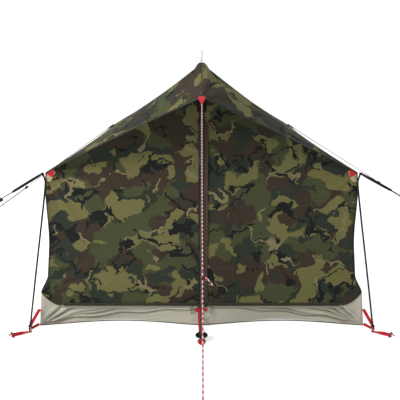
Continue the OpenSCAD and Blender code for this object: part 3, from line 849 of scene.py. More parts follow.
def tub_wall(k, down):
    """Points of wall k (front, right, rear, left): columns along it, each from rim to ground."""
    front_back, facing = k % 2 == 0, (-1, 1, 1, -1)[k]
    n = NX if front_back else NY
    q = np.linspace(-1, 1, n + 1)[:-1] * (1 if k < 2 else -1)
    d = (CORNER_X if front_back else FLOOR_Y) * (1 - np.abs(q))
    top_z, face = rim_z(d), np.full(n, float(facing))
    if front_back:
        top_x, top_y = q * CORNER_X, face * FLOOR_Y
        low_x, low_y = base_xy(q * FLOOR_X, face, True)
    else:
        top_x, top_y = face * (FLOOR_X - WALL_LEAN * top_z), q * FLOOR_Y
        low_x, low_y = base_xy(face, q, False)
    top = line(top_x, top_y, top_z)
    low = line(low_x, low_y, LIE + BASE_LIFT * np.sin(np.pi * np.abs(q)) ** 2)
    wall = top[:, None] + down[None, :, None] * (low - top)[:, None]

    s, t = np.broadcast_to(d[:, None], wall.shape[:2]), wall[..., 2]
    seed = 110 + 3 * k
    fold = drape(s * 1.5, t * 2, seed + 1, 0.005) + corner_folds(s, t, q[:, None], seed)
    crumple = 0.0016 * noise(s + 3, t, 0.022, seed + 2)
    inside = ease(down / 0.12) * ease((1 - down) / 0.25 + 0.25)
    near = ease(d / 0.03)[:, None]
    out = np.array([0, facing, 0] if front_back else [facing, 0, 0])
    return wall + out * (np.clip(fold + crumple - 0.004, -0.03, 0.006) * inside[None, :] * near)[..., None]


def tub_floor(edge):
    """Points of the floor, stretched between the walls' lower edges, which come as one loop."""
    loop = np.vstack([edge, edge[:1]])
    front, right = loop[:NX + 1], loop[NX:NX + NY + 1]
    rear, left = loop[NX + NY:2 * NX + NY + 1][::-1], loop[2 * NX + NY:][::-1]
    a, b = np.linspace(0, 1, NX + 1)[:, None, None], np.linspace(0, 1, NY + 1)[None, :, None]
    ruled = (1 - b) * front[:, None] + b * rear[:, None] + (1 - a) * left[None] + a * right[None]
    corner = (1 - a) * (1 - b) * front[0] + a * (1 - b) * front[-1] + (1 - a) * b * rear[0] + a * b * rear[-1]
    floor = ruled - corner
    s, t = floor[..., 0], floor[..., 1]
    pull = fan(s, t, (-FLOOR_X, -FLOOR_Y), 0.3, 14, 0.004, 141)
    pull = pull + fan(s, t, (FLOOR_X, -FLOOR_Y), 0.3, 14, 0.004, 142)
    ripple = np.abs(drape(s, t, 140, 0.003)) + np.clip(pull, 0, 1)
    floor[..., 2] = np.maximum(floor[..., 2], LIE) + ripple * window(a[..., 0], b[..., 0], 0.05, 0.04)
    return floor


def tub():
    """Tub of one cloth: four walls in a ring, and the floor."""
    shape = Shape()
    down = spaced(NT)
    band = np.concatenate([tub_wall(k, down) for k in range(4)])
    count, rings = band.shape[:2]
    uv = np.stack(np.broadcast_arrays(lengths(band[:, 0])[:, None], TUB_WALL * down[None, :]), axis=2)
    faces = []
    for i in range(count):
        here, after = i * rings, (i + 1) % count * rings
        faces += [(here + j, here + j + 1, after + j + 1, after + j) for j in range(rings - 1)]
    shape.add(band, faces, uv)
    floor = tub_floor(band[:, -1])
    shape.grid(floor, floor[..., :2].copy())
    name = "tub_cloth"
    return shape.build(name, [TUB, TUB], name, "canopy", ["bathtub_floor"], closed=False, merge=1e-5)


solidify(tub())


# ---------------------------------------------------------------- seams and hems

def seam(shape, path, out, width=0.0058, thick=0.0016, lift=0.0003):
    """Flat-felled seam or binding laid along an edge."""
    path = np.asarray(path, float)
    out = np.broadcast_to(unit(out), path.shape)
    across = np.cross(np.gradient(path, axis=0), out)
    shape.sweep(path + out * lift, flat_section(width, thick, 0.0004), across)


# Widths of the rim's binding and of the ridge's seam.
RIM_W, RIDGE_W = 0.007, 0.012
fine, wide_v = np.linspace(0, 1, 60), both_ends(120)
roof_seams, wall_seams, hems, rim = Shape(), Shape(), Shape(), Shape()
seam(roof_seams, roof_at(0.0, wide_v), (0, 0, 1), RIDGE_W)
for sx in SIDES.values():
    seam(roof_seams, mirror(roof_at(1.0, wide_v), sx, 1), (0.8 * sx, 0, 0.6))
    low = mirror(side_wall_at(wide_v, 0.0), sx, 1)
    seam(rim, low, (sx, 0, 0), RIM_W)
    for sy in ENDS.values():
        seam(roof_seams, mirror(roof_at(spaced(70, 1.4), 0.0), sx, sy), (0.4 * sx, -0.4 * sy, 0.82))
        seam(wall_seams, mirror(end_wall_at(1.0, fine), sx, sy), (0.7 * sx, -0.7 * sy, 0))
        hem = mirror(hem_at(spaced(60, 1.2) * 0.985), sx, sy)
        across = np.cross(np.gradient(hem, axis=0), (0, -0.6 * sy, 0.8))
        hems.sweep(hem, flat_section(0.0075, 0.0034, 0.0006), across)
        part = np.linspace(0.88 if sy == 1 else 0.0, 1.0, 50)
        seam(rim, mirror(end_wall_at(part, 0.0), sx, sy), (0, -sy, 0), RIM_W)
for sy in ENDS.values():
    w = spaced(60, 1.3)[:, None]
    middle = over_grip(roof_at(0.0, 0.0) + w * (hem_at(0.0) - roof_at(0.0, 0.0)))
    seam(roof_seams, mirror(middle, 1, sy), (0, -0.63 * sy, 0.78), 0.0042, 0.001, 0.0)
seam(wall_seams, mirror(end_wall_at(0.0, fine), 1, -1), (0, 1, 0), 0.011)
above_door = end_wall_at(0.0, np.linspace(0.83, 1.0, 20))
seam(wall_seams, above_door, (0, -1, 0), 0.011)
roof_seams.build("roof_seams", SEAM, "camo_cloth", "canopy")
wall_seams.build("wall_seams", SEAM, "camo_cloth", "canopy")
hems.build("hood_hems", SEAM, "camo_cloth", "canopy")
rim.build("rim_binding", SEAM, "camo_cloth", "canopy")

# Dark stitched strip where the tub's front and rear walls meet its floor; its dark colour is painted shade
# along the fold at the ground.
sole = Shape()
for sy in (-1, 1):
    q = np.linspace(-1, 1, 160)
    x, y = base_xy(q * FLOOR_X, np.full(160, float(sy)), True)
    seam(sole, line(x, y, 0.0036), (0, sy, 0), 0.005, 0.0014, 0.0006)
sole.build("tub_base_painted_shade", TUB_BASE_SHADE, "tub_cloth", "canopy")


def patch(shape, outline, out, thick, dome=0.001, cut=0.2):
    """Piece of cloth with rounded corners, domed a little towards out."""
    out, rings = unit(out), 5
    edge = np.asarray(outline, float)
    for _ in range(3):
        after = np.roll(edge, -1, axis=0)
        edge = np.stack([edge + cut * (after - edge), after + cut * (edge - after)], axis=1).reshape(-1, 3)
    middle = edge.mean(axis=0)
    x = unit(edge[0] - middle)
    y = np.cross(out, x)
    n = len(edge)

    def ring(face, k):
        share = k / rings
        lift = out * (face * thick / 2 * (1 if k < rings else 0.6) + dome * (1 - share ** 2))
        return middle + (edge - middle) * share + lift

    rows = [ring(1, k) for k in range(1, rings + 1)] + [ring(-1, k) for k in range(rings, 0, -1)]
    caps = [middle + out * (thick / 2 + dome), middle + out * (dome - thick / 2)]
    verts = np.vstack([caps[0][None], *rows, caps[1][None]])
    faces = [(0, 1 + q, 1 + (q + 1) % n) for q in range(n)]
    for k in range(len(rows) - 1):
        a, b = 1 + k * n, 1 + (k + 1) * n
        faces += [(a + q, b + q, b + (q + 1) % n, a + (q + 1) % n) for q in range(n)]
    last = 1 + (len(rows) - 1) * n
    faces += [(last + q, len(verts) - 1, last + (q + 1) % n) for q in range(n)]
    flat = verts - middle
    shape.add(verts, faces, np.stack([flat @ x, flat @ y], axis=1))


# ---------------------------------------------------------------- zips and storm flap

# Widths and thickness of the tapes, pitch of the teeth and their size along the zip.
TAPE_W, SILL_W, TAPE_T = 0.0126, 0.0095, 0.0009
TOOTH, TOOTH_L = 0.003, 0.0012

# Ends of the zips, heights of the bottom zips' tapes and of their teeth's lower edges, and the wall's plane.
ZIP_LOW, ZIP_HIGH = 0.1095, 0.984
SILL_IN, SILL_OUT = 0.018, 0.648
DOOR_TAPE_Z, TUB_TAPE_Z = 0.1125, 0.0978
DOOR_TEETH_Z, TUB_TEETH_Z = 0.1042, 0.1018
FACE = -FLOOR_Y

for side, sx in SIDES.items():
    zipper, teeth = Shape(), Shape()
    path = line(0.0077 * sx, FACE - 0.0016, np.linspace(ZIP_LOW, ZIP_HIGH, 40))
    zipper.sweep(path, flat_section(TAPE_W, TAPE_T), (1, 0, 0))
    for z in np.arange(ZIP_LOW + 0.004, ZIP_HIGH - 0.006, TOOTH) + (0 if sx < 0 else TOOTH / 2):
        x0, x1 = sorted((-0.0014 * sx, 0.0028 * sx))
        teeth.bar((x0, FACE - 0.0036, z), (x1, FACE - 0.0018, z + TOOTH_L))
        x0, x1 = sorted((0.0026 * sx, 0.0036 * sx))
        teeth.bar((x0, FACE - 0.0032, z - 0.0002), (x1, FACE - 0.0016, z + 0.0014))
    zipper.build(f"zip_{side}_tape", TAPE, "zip_tape", f"door_{side}", [f"zip_tape_{side}"])
    teeth.build(f"zip_{side}_coil", COIL, "zip_tape", f"door_{side}")


def sill_tooth(shape, at, sx, low):
    """Tooth of a bottom zip, at a distance out from the middle."""
    x0, x1 = sorted((at * sx, (at + TOOTH_L) * sx))
    shape.bar((x0, FACE - 0.0052, low), (x1, FACE - 0.003, low + 0.0044))


tub_side, tub_teeth = Shape(), Shape()
for side, sx in SIDES.items():
    x = np.linspace(SILL_IN, SILL_OUT, 60) * sx
    upper, upper_teeth = Shape(), Shape()
    upper.sweep(line(x, FACE - 0.0022, DOOR_TAPE_Z), flat_section(SILL_W, TAPE_T), (0, 0, 1))
    tub_side.sweep(line(x, FACE - 0.0034, TUB_TAPE_Z), flat_section(SILL_W, TAPE_T), (0, 0, 1))
    for at in np.arange(SILL_IN + 0.004, SILL_OUT - 0.004, TOOTH):
        sill_tooth(upper_teeth, at, sx, DOOR_TEETH_Z)
        sill_tooth(tub_teeth, at + TOOTH / 2, sx, TUB_TEETH_Z)
    upper.build(f"sill_{side}_tape", SILL_TAPE, "zip_tape", f"door_{side}", [f"sill_zip_{side}"])
    upper_teeth.build(f"sill_{side}_coil", SILL_COIL, "zip_tape", f"door_{side}")
tub_side.build("sill_tub_tapes", TUB_TAPE, "zip_tape", "canopy", ["tub_zip_tapes"])
tub_teeth.build("sill_tub_coils", SILL_COIL, "zip_tape", "canopy")

# Patch over the place where the three zips meet.
garage = Shape()
corners = ((-0.021, 0.1135), (0.029, 0.1135), (0.027, 0.0975), (-0.019, 0.0975))
patch(garage, [(x, FACE - 0.0062, z) for x, z in corners], (0, -1, 0), 0.0012, 0.0008, cut=0.1)
garage.build("zip_end_patch", SEAM, "camo_cloth", "canopy")

flap = Shape()
z = np.linspace(0.118, 0.958, 150)
sway = 0.0011 * noise(z * 1.0, z * 0, 0.05, 5) + 0.0016 * noise(z, z * 0 + 3, 0.14, 6)
path = line(0.0195 + sway, FACE - 0.0042 - 0.6 * np.abs(sway), z)
flap.sweep(path, flat_section(0.0165, 0.0022, 0.0016), (1, 0, 0))
flap.build("storm_flap", FLAP, "flap_cloth", "door_right", ["zip_flap"])


# ---------------------------------------------------------------- poles

def ridged(low, high, radius, depth, every):
    """Profile of a grip with shallow rounded rings."""
    z = np.arange(low, high, every / 6)
    hollow = lambda h: depth * (0.5 - 0.5 * math.cos(2 * math.pi * (h - low) / every))
    return [(radius - hollow(h), h) for h in z]


GRIP_LOW, GRIP_TOP = 1.0125, 1.183
grips, eyes = Shape(), Shape()
for sy in ENDS.values():
    at = (0, -sy * POLE_Y, 0)
    outer = [(0.0102, GRIP_LOW), (0.0158, GRIP_LOW), (0.0188, 1.0155)]
    outer += ridged(1.018, 1.168, 0.0198, 0.0012, 0.0125)
    outer += [(0.0186, 1.1715), (0.0158, 1.178), (0.0132, 1.182), (0.008, 1.1829), (0, GRIP_TOP)]
    grips.lathe([(0, 1.163), (0.0102, 1.163)] + outer, at)
    top = RIDGE_Z + 0.0016
    eyes.lathe([(0.0046, top), (0.0106, top - 0.0004), (0.0112, top + 0.0008), (0.0096, top + 0.0019),
                (0.0060, top + 0.0021), (0.0044, top + 0.0014), (0.0046, top)], at)
grips.build("grips", FOAM, "grip_foam", "canopy", ["pole_grips"], merge=1e-6)
eyes.build("eyelets", EYELET, "eyelet_metal", "canopy", ["ridge_eyelets"], merge=1e-6)


# Heights of the lower ends of the upper and middle pole sections, where their locks sit.
UPPER_END, MIDDLE_END = 0.7985, 0.3935


def collar(name, body, at, low, tube, inner):
    """Twist lock on the open end of a tube that a thinner one slides in."""
    high, r, seat = low + 0.034, tube + 0.0028, low + 0.0062
    shape = Shape()
    profile = [(inner, low), (r - 0.001, low), (r, low + 0.002)]
    profile += ridged(low + 0.004, low + 0.026, r + 0.0004, 0.0008, 0.0044)
    profile += [(r - 0.0006, low + 0.030), (tube + 0.0006, high), (tube + 0.0001, high)]
    profile += [(tube + 0.0001, seat), (inner, seat), (inner, low)]
    shape.lathe(profile, at)
    shape.build(name, COLLAR, "pole_paint", body)


def basket(end, sy):
    """Round plate with a hub and six ribs."""
    at = np.array([0, -sy * POLE_Y, 0])
    shape = Shape()
    shape.lathe([(0.0072, 0.0245), (0.012, 0.0245), (0.0136, 0.0280), (0.0242, 0.0272), (0.0262, 0.0256),
                 (0.0278, 0.0272), (0.0280, 0.0294), (0.0268, 0.0316), (0.0248, 0.0310), (0.0236, 0.0296),
                 (0.0138, 0.0302), (0.0118, 0.0330), (0.0102, 0.0416), (0.0072, 0.0416),
                 (0.0072, 0.0245)], at)
    for k in range(6):
        a = math.radians(60 * k + 15)
        ray = np.array([math.cos(a), math.sin(a), 0])
        rib = [at + ray * r + [0, 0, z] for r, z in ((0.0104, 0.0350), (0.017, 0.0318), (0.0255, 0.0300))]
        shape.sweep(curve(rib, 8), flat_section(0.0028, 0.0030), np.cross(ray, (0, 0, 1)))
    shape.build(f"{end}_basket", BASKET, "basket_plastic", f"{end}_pole_lower", [f"{end}_pole_basket"])


for end, sy in ENDS.items():
    at = (0, -sy * POLE_Y, 0)
    collar(f"{end}_upper_lock", "canopy", at, UPPER_END, 0.010, 0.0088)
    collar(f"{end}_middle_lock", f"{end}_pole_middle", at, MIDDLE_END, 0.0085, 0.0073)
    basket(end, sy)


# ---------------------------------------------------------------- webbing

def strap_loop(shape, a, b, side_a, side_b, r_a, r_b, width, sag=0.0):
    """Webbing that runs doubled from a to b and turns back round each of them."""
    a, b = np.asarray(a, float), np.asarray(b, float)
    along = unit(b - a)
    t = np.linspace(0, 1, 26)[:, None]
    side = (1 - ease(t)) * unit(side_a) + ease(t) * unit(side_b)
    side = side - along * (side @ along)[:, None]
    side /= np.linalg.norm(side, axis=1, keepdims=True)
    out = np.cross(along, side)
    apart = 0.0009 + (r_a - 0.0009) * np.exp(-t * 9) + (r_b - 0.0009) * np.exp(-(1 - t) * 9)
    centre = a + t * (b - a) + np.array([0, 0, -1]) * sag * np.sin(np.pi * t)
    turn = np.linspace(0, np.pi, 9)[1:-1, None]
    round_b = b + r_b * (np.cos(turn) * out[-1] + np.sin(turn) * along)
    round_a = a - r_a * (np.cos(turn) * out[0] + np.sin(turn) * along)
    path = np.vstack([centre + out * apart, round_b, (centre - out * apart)[::-1], round_a])
    sides = np.vstack([side, np.repeat(side[-1:], 7, 0), side[::-1], np.repeat(side[:1], 7, 0)])
    shape.sweep(path, flat_section(width, 0.0013), sides, closed=True)


RIDGE_STAKE = np.array([0, -RIDGE_STAKE_Y, 0.0])
TIP = np.array([0, -TIP_Y, TIP_Z])
GUY_DOWN = unit(RIDGE_STAKE + [0, 0, NECK_Z] - TIP)

tabs, eave_red, eave_beige = Shape(), Shape(), Shape()
for sy in ENDS.values():
    top = TIP + GUY_DOWN * 0.002
    outline = [top + [-0.017, 0, 0.003], top + GUY_DOWN * 0.036 + [-0.004, 0, 0],
               top + GUY_DOWN * 0.036 + [0.004, 0, 0], top + [0.017, 0, 0.003]]
    patch(tabs, mirror(outline, 1, sy), mirror(np.cross(GUY_DOWN, (1, 0, 0)), 1, sy), 0.0034, 0.0012)
    for sx in SIDES.values():
        across = lambda x, z, y: mirror([EAVE_X + x, -FLOOR_Y - y, EAVE_Z + z], sx, sy)
        red = [across(-0.046, 0.020, 0.0275), across(-0.006, -0.001, 0.0245), across(-0.036, -0.019, 0.0235)]
        beige = [across(-0.046, 0.010, 0.003), across(-0.003, -0.008, 0.003),
                 across(0.002, -0.044, 0.0034), across(-0.021, -0.040, 0.0032)]
        patch(eave_red, red, (0, -sy, 0), 0.0022, 0.0016, cut=0.1)
        patch(eave_beige, beige, (0, -sy, 0), 0.0016, 0.001, cut=0.13)
tabs.build("hood_tip_tabs", RED_WEBBING, "red_webbing", "canopy", ["peak_tabs"])
eave_red.build("eave_triangles", RED_WEBBING, "red_webbing", "canopy", ["eave_tabs"])
eave_beige.build("eave_reinforcements", PATCH, "patch_cloth", "canopy", ["eave_patches"])

# Half lengths of the foot patch, away from the tent and towards it.
TOE, HEEL = 0.036, 0.022
feet, grommets = Shape(), Shape()
for sy in ENDS.values():
    at = lambda x, y, z: mirror([x, -y, z], 1, sy)
    patch(feet, [at(-0.031, 1.0042, 0.090), at(0.026, 1.0042, 0.091), at(0.025, 1.0042, 0.075),
                 at(-0.030, 1.0042, 0.073)], (0, -sy, 0), 0.0022, 0.001, cut=0.08)
    strap = curve([at(-0.008, 1.0062, 0.088), at(-0.008, 1.0076, 0.066), at(-0.007, 1.03, 0.043),
                   at(-0.005, 1.072, 0.022), at(-0.003, 1.105, 0.0085), at(-0.001, 1.128, 0.0056)], 40)
    feet.sweep(strap, flat_section(0.018, 0.0018, 0.0005), (1, 0, 0))
    turn = np.radians(np.arange(0, 360, 18))
    reach = lambda a: POLE_Y + 0.007 + (TOE if math.sin(a) > 0 else HEEL) * math.sin(a)
    patch(feet, [at(0.0185 * math.cos(a), reach(a), 0.0042) for a in turn], (0, 0, 1), 0.0022, 0.007)
    grommets.lathe([(0.0062, 0.0060), (0.0098, 0.0058), (0.0104, 0.0066), (0.0088, 0.0076), (0.0066, 0.0074),
                    (0.0062, 0.0060)], (0, -sy * POLE_Y, 0))
feet.build("pole_foot_straps", RED_WEBBING, "red_webbing", "canopy", ["foot_straps"])
grommets.build("foot_grommets", EYELET, "eyelet_metal", "canopy")

RING_R = 0.011
RING_SIDE, RING_UP = unit([1, -1, 0]), np.array([0, 0, 1.0])
lean_out = unit([STAKE[0] - FLOOR_X, STAKE[1] - FLOOR_Y, 0])
STAKE_AXIS = math.cos(STAKE_LEAN) * RING_UP + math.sin(STAKE_LEAN) * lean_out


def on_ring(degrees):
    """Point on the right front ring."""
    a = math.radians(degrees)
    return RING + RING_R * (math.cos(a) * RING_SIDE + math.sin(a) * RING_UP)


def wire_way(degrees):
    """Way the ring's wire runs there."""
    a = math.radians(degrees)
    return -math.sin(a) * RING_SIDE + math.cos(a) * RING_UP


corner_web = Shape()
for sx in SIDES.values():
    for sy in (-1, 1):
        m = lambda p: mirror(p, sx, sy)
        seam_at = np.array([FLOOR_X - WALL_LEAN * 0.085 + 0.004, FLOOR_Y + 0.004, 0.085])
        sole_at = np.array([FLOOR_X + 0.002, FLOOR_Y + 0.002, 0.009])
        upper = unit(np.cross(on_ring(60) - seam_at, [0.25, 1, 0]))
        lower = unit(np.cross(on_ring(-25) - sole_at, [-0.3, 0.85, 0.43]))
        for sewn_at, side, turn, width in ((seam_at, upper, 60, 0.0150), (sole_at, lower, -25, 0.0130)):
            strap_loop(corner_web, m(sewn_at), m(on_ring(turn)), m(side), m(side + 0.3 * wire_way(turn)),
                       0.0009, 0.0026, width)
        neck = STAKE + STAKE_AXIS * 0.0145
        strap_loop(corner_web, m(on_ring(-100)), m(neck), m(wire_way(-100)), m(STAKE_AXIS),
                   0.0026, 0.0054, 0.0165, sag=-0.001)
corner_web.build("corner_webbing", RED_WEBBING, "red_webbing", "canopy", ["corner_straps"])


# ---------------------------------------------------------------- cords, guys and runners

def knot(shape, at, along, r, size=1.0):
    """Overhand knot drawn tight."""
    x, t = unit(along), np.linspace(0, 2 * np.pi, 60, endpoint=False)
    y = unit(np.cross(x, [0.2, 0.4, 0.9]))
    z = np.cross(x, y)
    k = r * 0.62 * size
    path = (np.asarray(at) + k * (np.sin(t) + 2 * np.sin(2 * t))[:, None] * y
            + k * (np.cos(t) - 2 * np.cos(2 * t))[:, None] * z - k * 1.3 * np.sin(3 * t)[:, None] * x)
    shape.sweep(path, round_section(r * 0.9, 8), closed=True)


# Length of one turn of a rope's spiral.
ROPE_LAY = 0.012


def rope(shape, path, r, relief=0.05):
    """Laid rope: its outline swells in a spiral."""
    path = np.asarray(path, float)
    length = lengths(path)[-1]
    count = max(int(length / 0.003), 8)
    swell = 1 + relief * np.sin(np.linspace(0, length, count) * 2 * np.pi / ROPE_LAY)
    shape.sweep(resample(path, count), round_section(r), scale=swell)


corner_cords = Shape()
CORD_R = 0.0041
for sx in SIDES.values():
    for sy in (-1, 1):
        m = lambda p: mirror(p, sx, sy)
        top = np.array([EAVE_X + 0.013, FLOOR_Y + 0.006, EAVE_Z - 0.003])
        bend = np.array([EAVE_X + 0.003, FLOOR_Y + 0.013, 0.683])
        down = on_ring(100) + [0, 0, 0.004]
        points = [m(top), m((top + bend) / 2 + [-0.004, 0.002, 0]), m(bend),
                  m(bend * 0.8 + down * 0.2 + [-0.001, 0, 0]), m(bend * 0.4 + down * 0.6), m(down)]
        rope(corner_cords, curve(points, 200), CORD_R, 0.04)
        turn = np.radians(np.linspace(-60, 240, 16))
        across, up_ = np.cross(wire_way(100), unit(down - bend)), unit(bend - down)
        loop = on_ring(100) + 0.0052 * (np.cos(turn)[:, None] * across + np.sin(turn)[:, None] * up_)
        corner_cords.sweep(m(loop), round_section(0.0030, 8))
        knot(corner_cords, m(down + up_ * 0.02), m(up_), 0.0034, 0.6)
        knot(corner_cords, m(top), m(up_), 0.0030, 0.7)
corner_cords.build("corner_cord_lines", BLACK_CORD, "black_cord", "canopy", ["corner_cords"])

# Rope's radius, distance between its two strands, and the runner's length and bores.
ROPE_R, STRAND_GAP, RUNNER_L, BORE_R = 0.00225, 0.006, 0.03, 0.0026

# Distances down the guys to their runners, lengths of the eave guys' black parts and of their elastic.
RUNNER_AT = {"ridge": 0.726, "front": 0.215, "rear": 0.9}
BLACK_TO = {"front": 0.235, "rear": 0.05}
ELASTIC_L, ELASTIC_R = 0.157, 0.0031

# Turns of the whipping and their spacing, and radius of the loop round the peg.
WHIP_TURNS, WHIP_PITCH, LOOP_R = 7, 0.0026, 0.0087


class Guy:
    """Axes of one guy: x down the rope, y level, z across both. Distances are from its upper end."""

    def __init__(self, name, start, stake, runner_at, material):
        self.name, self.runner_at, self.material = name, runner_at, material
        self.start, stake = np.asarray(start, float), np.asarray(stake, float)
        away = unit([stake[0] - start[0], stake[1] - start[1], 0])
        self.neck = stake + NECK_Z * (away * math.tan(STAKE_LEAN) + [0, 0, 1])
        self.x = unit(self.neck - self.start)
        self.y = unit(np.cross([0, 0, 1], self.x))
        self.z = np.cross(self.x, self.y)
        self.length = np.linalg.norm(self.neck - self.start)

    def at(self, d, off=0.0):
        return self.start + self.x * d + self.z * off


def guy_rope(g, black_to):
    """Rope, doubled below the runner, whipped where its strands meet and looped round the peg."""
    shape = Shape()
    rope(shape, [g.at(black_to), g.at(g.length - 0.0085)], ROPE_R)
    rope(shape, [g.at(g.runner_at + 0.006, -STRAND_GAP), g.at(g.length - 0.02, -STRAND_GAP)], ROPE_R)
    cos, sin = turns(16)
    for k in range(WHIP_TURNS):
        middle = g.at(g.length - 0.034 + k * WHIP_PITCH, -STRAND_GAP / 2)
        ring = middle + cos * g.y * 0.0036 + sin * g.z * 0.0066
        shape.sweep(ring, round_section(0.0014, 6), closed=True)
    cos, sin = turns(40)
    shape.sweep(g.neck + LOOP_R * (cos * g.x + sin * g.y), round_section(0.0024, 8), closed=True)
    knot(shape, g.at(g.length - 0.0125, -STRAND_GAP / 2), g.x, ROPE_R, 1.1)
    shape.build(f"{g.name}_rope", g.material, "guy_rope", "canopy", [f"{g.name}_guy"])


def elastic(g, black_to):
    """Black upper part, with two elastic strands knotted beside it."""
    shape = Shape()
    rope(shape, [g.at(0.0), g.at(black_to + 0.001)], ROPE_R, 0.03)
    stretch = min(ELASTIC_L, black_to)
    for k in (-1, 1):
        places = ((0.006, 0.001), (0.03, 0.003), (stretch - 0.02, 0.003), (stretch, 0.001))
        rope(shape, curve([g.at(d, k * off) for d, off in places], 60), ELASTIC_R, 0.04)
    knot(shape, g.at(0.004), g.x, 0.0030, 0.7)
    knot(shape, g.at(stretch), g.x, 0.0026, 0.7)
    shape.build(f"{g.name}_elastic", BLACK_CORD, "black_cord", "canopy")


def tensioner(g):
    """Runner: a waisted oval bar with two bores for the rope."""
    share = np.array([0, 0.025, 0.07, 0.17, 0.33, 0.5, 0.67, 0.83, 0.93, 0.975, 1])
    size = np.array([0.72, 0.84, 0.93, 1, 0.95, 0.9, 0.95, 1, 0.93, 0.84, 0.72])
    squarish = lambda part: np.sign(part) * abs(part) ** 0.55
    section = [(0.0055 * squarish(math.cos(a)), 0.0085 * squarish(math.sin(a)))
               for a in np.linspace(0, 2 * np.pi, 32, endpoint=False)]
    shape, bores = Shape(), Shape()
    shape.sweep([g.at(g.runner_at + RUNNER_L * k, -STRAND_GAP / 2) for k in share], section, g.y, scale=size)
    for off in (0.0, -STRAND_GAP):
        ends = [g.at(g.runner_at - 0.004, off), g.at(g.runner_at + RUNNER_L + 0.004, off)]
        bores.sweep(ends, round_section(BORE_R, 20))
    runner = f"{g.name}_runner"
    drill(shape.build(f"{g.name}_tensioner", RUNNER, "runner_plastic", runner, [runner]), bores)


def tail(g, side):
    """Rope's knotted end beside the runner, and the turn that it takes over the runner."""
    shape = Shape()
    foot = g.at(g.runner_at + RUNNER_L - 0.006, -STRAND_GAP / 2) + g.y * side * 0.0050
    low = np.array([0, 0, -1.0])
    places = ((-0.003, 0, 0), (0.008, 0.001, 0), (0.016, 0.004, 0.005), (0.024, 0.008, 0.013))
    path = [foot + g.y * side * out + g.x * on + low * sag for out, on, sag in places]
    rope(shape, curve(path, 30), ROPE_R)
    knot(shape, foot + g.y * side * 0.003, g.y, ROPE_R, 1.2)
    rise = ((0.004, 0.0051), (0.007, 0.0062), (0.011, 0.0070))
    fall = [(RUNNER_L - d, h) for d, h in reversed(rise)]
    rope(shape, curve([g.at(g.runner_at + d, h) for d, h in (*rise, *fall)], 24), ROPE_R)
    shape.build(f"{g.name}_tail", g.material, "guy_rope", f"{g.name}_runner")


def guy_line(name, start, stake, runner_at, tail_side, black_to, material):
    """A guy: elastic near the tent where it has one, then rope, with its runner."""
    g = Guy(name, start, stake, runner_at, material)
    guy_rope(g, black_to)
    if black_to > 0:
        elastic(g, black_to)
    tensioner(g)
    tail(g, tail_side)


ridge_start = TIP + GUY_DOWN * 0.034
eave_start = np.array([EAVE_X + 0.014, FLOOR_Y + 0.006, EAVE_Z - 0.004])
for end, sy in ENDS.items():
    ends = mirror(ridge_start, 1, sy), mirror(RIDGE_STAKE, 1, sy)
    guy_line(f"{end}_ridge", *ends, RUNNER_AT["ridge"], 1, 0.0, RED_ROPE)
    for side, sx in SIDES.items():
        name = f"{end}_{side}"
        place = [sx, -sy, 1]
        stake = (eave_start + [REACH[name], SPLAY, 0]) * [1, 1, 0] * place
        guy_line(name, eave_start * place, stake, RUNNER_AT[end], -sx * sy, BLACK_TO[end], DULL_ROPE)


# ---------------------------------------------------------------- camera, light and stage

# Strength of the sky on the tent, and of the floor's own glow, which only the camera sees.
SKY, FLOOR_GLOW = 0.46, 0.58
FLOOR_HALF, FLOOR_DROP = 60, 0.0005

# The camera's place, which was solved from the photo.
EYE, TILT = (-0.007, -3.343, 1.197), 14
SENSOR, LENS = 36, 48.69


def sky(scene):
    """White to the camera, and a dimmer cool light to everything else."""
    world = bpy.data.worlds.new("studio")
    scene.world = world
    world.use_nodes = True
    tree = world.node_tree
    seen, lit = tree.nodes["Background"], tree.nodes.new("ShaderNodeBackground")
    seen.inputs[0].default_value = (1, 1, 1, 1)
    lit.inputs[0].default_value = (0.97, 0.99, 1, 1)
    lit.inputs[1].default_value = SKY
    mix, path = tree.nodes.new("ShaderNodeMixShader"), tree.nodes.new("ShaderNodeLightPath")
    tree.links.new(path.outputs["Is Camera Ray"], mix.inputs[0])
    tree.links.new(lit.outputs[0], mix.inputs[1])
    tree.links.new(seen.outputs[0], mix.inputs[2])
    tree.links.new(mix.outputs[0], tree.nodes["World Output"].inputs[0])


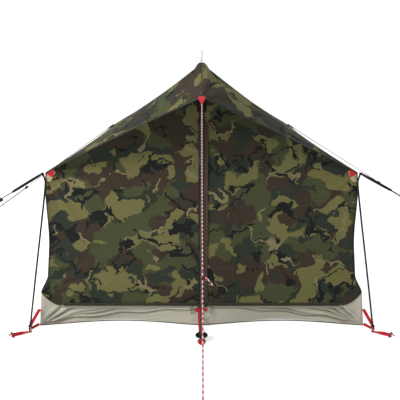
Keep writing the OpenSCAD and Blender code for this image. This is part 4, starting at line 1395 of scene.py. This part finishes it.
def area(scene, name, at, aim, size, watts, tint):
    """Round lamp that faces a point."""
    lamp = bpy.data.lights.new(name, "AREA")
    lamp.shape = "DISK"
    lamp.size = size
    lamp.energy = watts
    lamp.color = tint
    obj = bpy.data.objects.new(name, lamp)
    scene.collection.objects.link(obj)
    obj.location = at
    obj.rotation_euler = (Vector(aim) - Vector(at)).to_track_quat("-Z", "Y").to_euler()


def pale_floor():
    """White material that glows, but only to the camera."""
    pale = bpy.data.materials.new("pale_floor")
    pale.use_nodes = True
    tree = pale.node_tree
    inputs = tree.nodes["Principled BSDF"].inputs
    inputs["Base Color"].default_value = (0.93, 0.93, 0.93, 1)
    inputs["Roughness"].default_value = 0.9
    inputs["Specular IOR Level"].default_value = 0.1
    inputs["Emission Color"].default_value = (1, 1, 1, 1)
    glow = tree.nodes.new("ShaderNodeMath")
    glow.operation = "MULTIPLY"
    glow.inputs[1].default_value = FLOOR_GLOW
    tree.links.new(tree.nodes.new("ShaderNodeLightPath").outputs["Is Camera Ray"], glow.inputs[0])
    tree.links.new(glow.outputs[0], inputs["Emission Strength"])
    return pale


def studio_floor(scene):
    """Wide floor just under the tent."""
    mesh = bpy.data.meshes.new("studio_floor")
    corners = [(x * FLOOR_HALF, y * FLOOR_HALF, 0) for x, y in ((-1, -1), (1, -1), (1, 1), (-1, 1))]
    mesh.from_pydata(corners, [], [(0, 1, 2, 3)])
    ground = bpy.data.objects.new("studio_floor", mesh)
    scene.collection.objects.link(ground)
    ground.location.z = -FLOOR_DROP
    mesh.materials.append(pale_floor())


def photo_camera(scene):
    """Camera where the photo's stood."""
    camera = bpy.data.cameras.new("camera")
    camera.sensor_width = SENSOR
    camera.lens = LENS
    eye = bpy.data.objects.new("camera", camera)
    scene.collection.objects.link(eye)
    eye.location = EYE
    eye.rotation_euler = (math.radians(90 - TILT), 0, 0)
    scene.camera = eye


def studio():
    """Sky, lamps, floor and camera."""
    scene = bpy.context.scene
    scene.view_settings.view_transform = "Standard"
    scene.view_settings.look = "None"
    sky(scene)
    area(scene, "key_light", (-3.0, -3.6, 3.0), (-0.2, -0.8, 0.5), 2.2, 158, (1.0, 0.985, 0.96))
    area(scene, "top_light", (0.2, 0.4, 5.5), (0, 0, 0), 4.5, 125, (0.98, 0.99, 1.0))
    studio_floor(scene)
    photo_camera(scene)


studio()
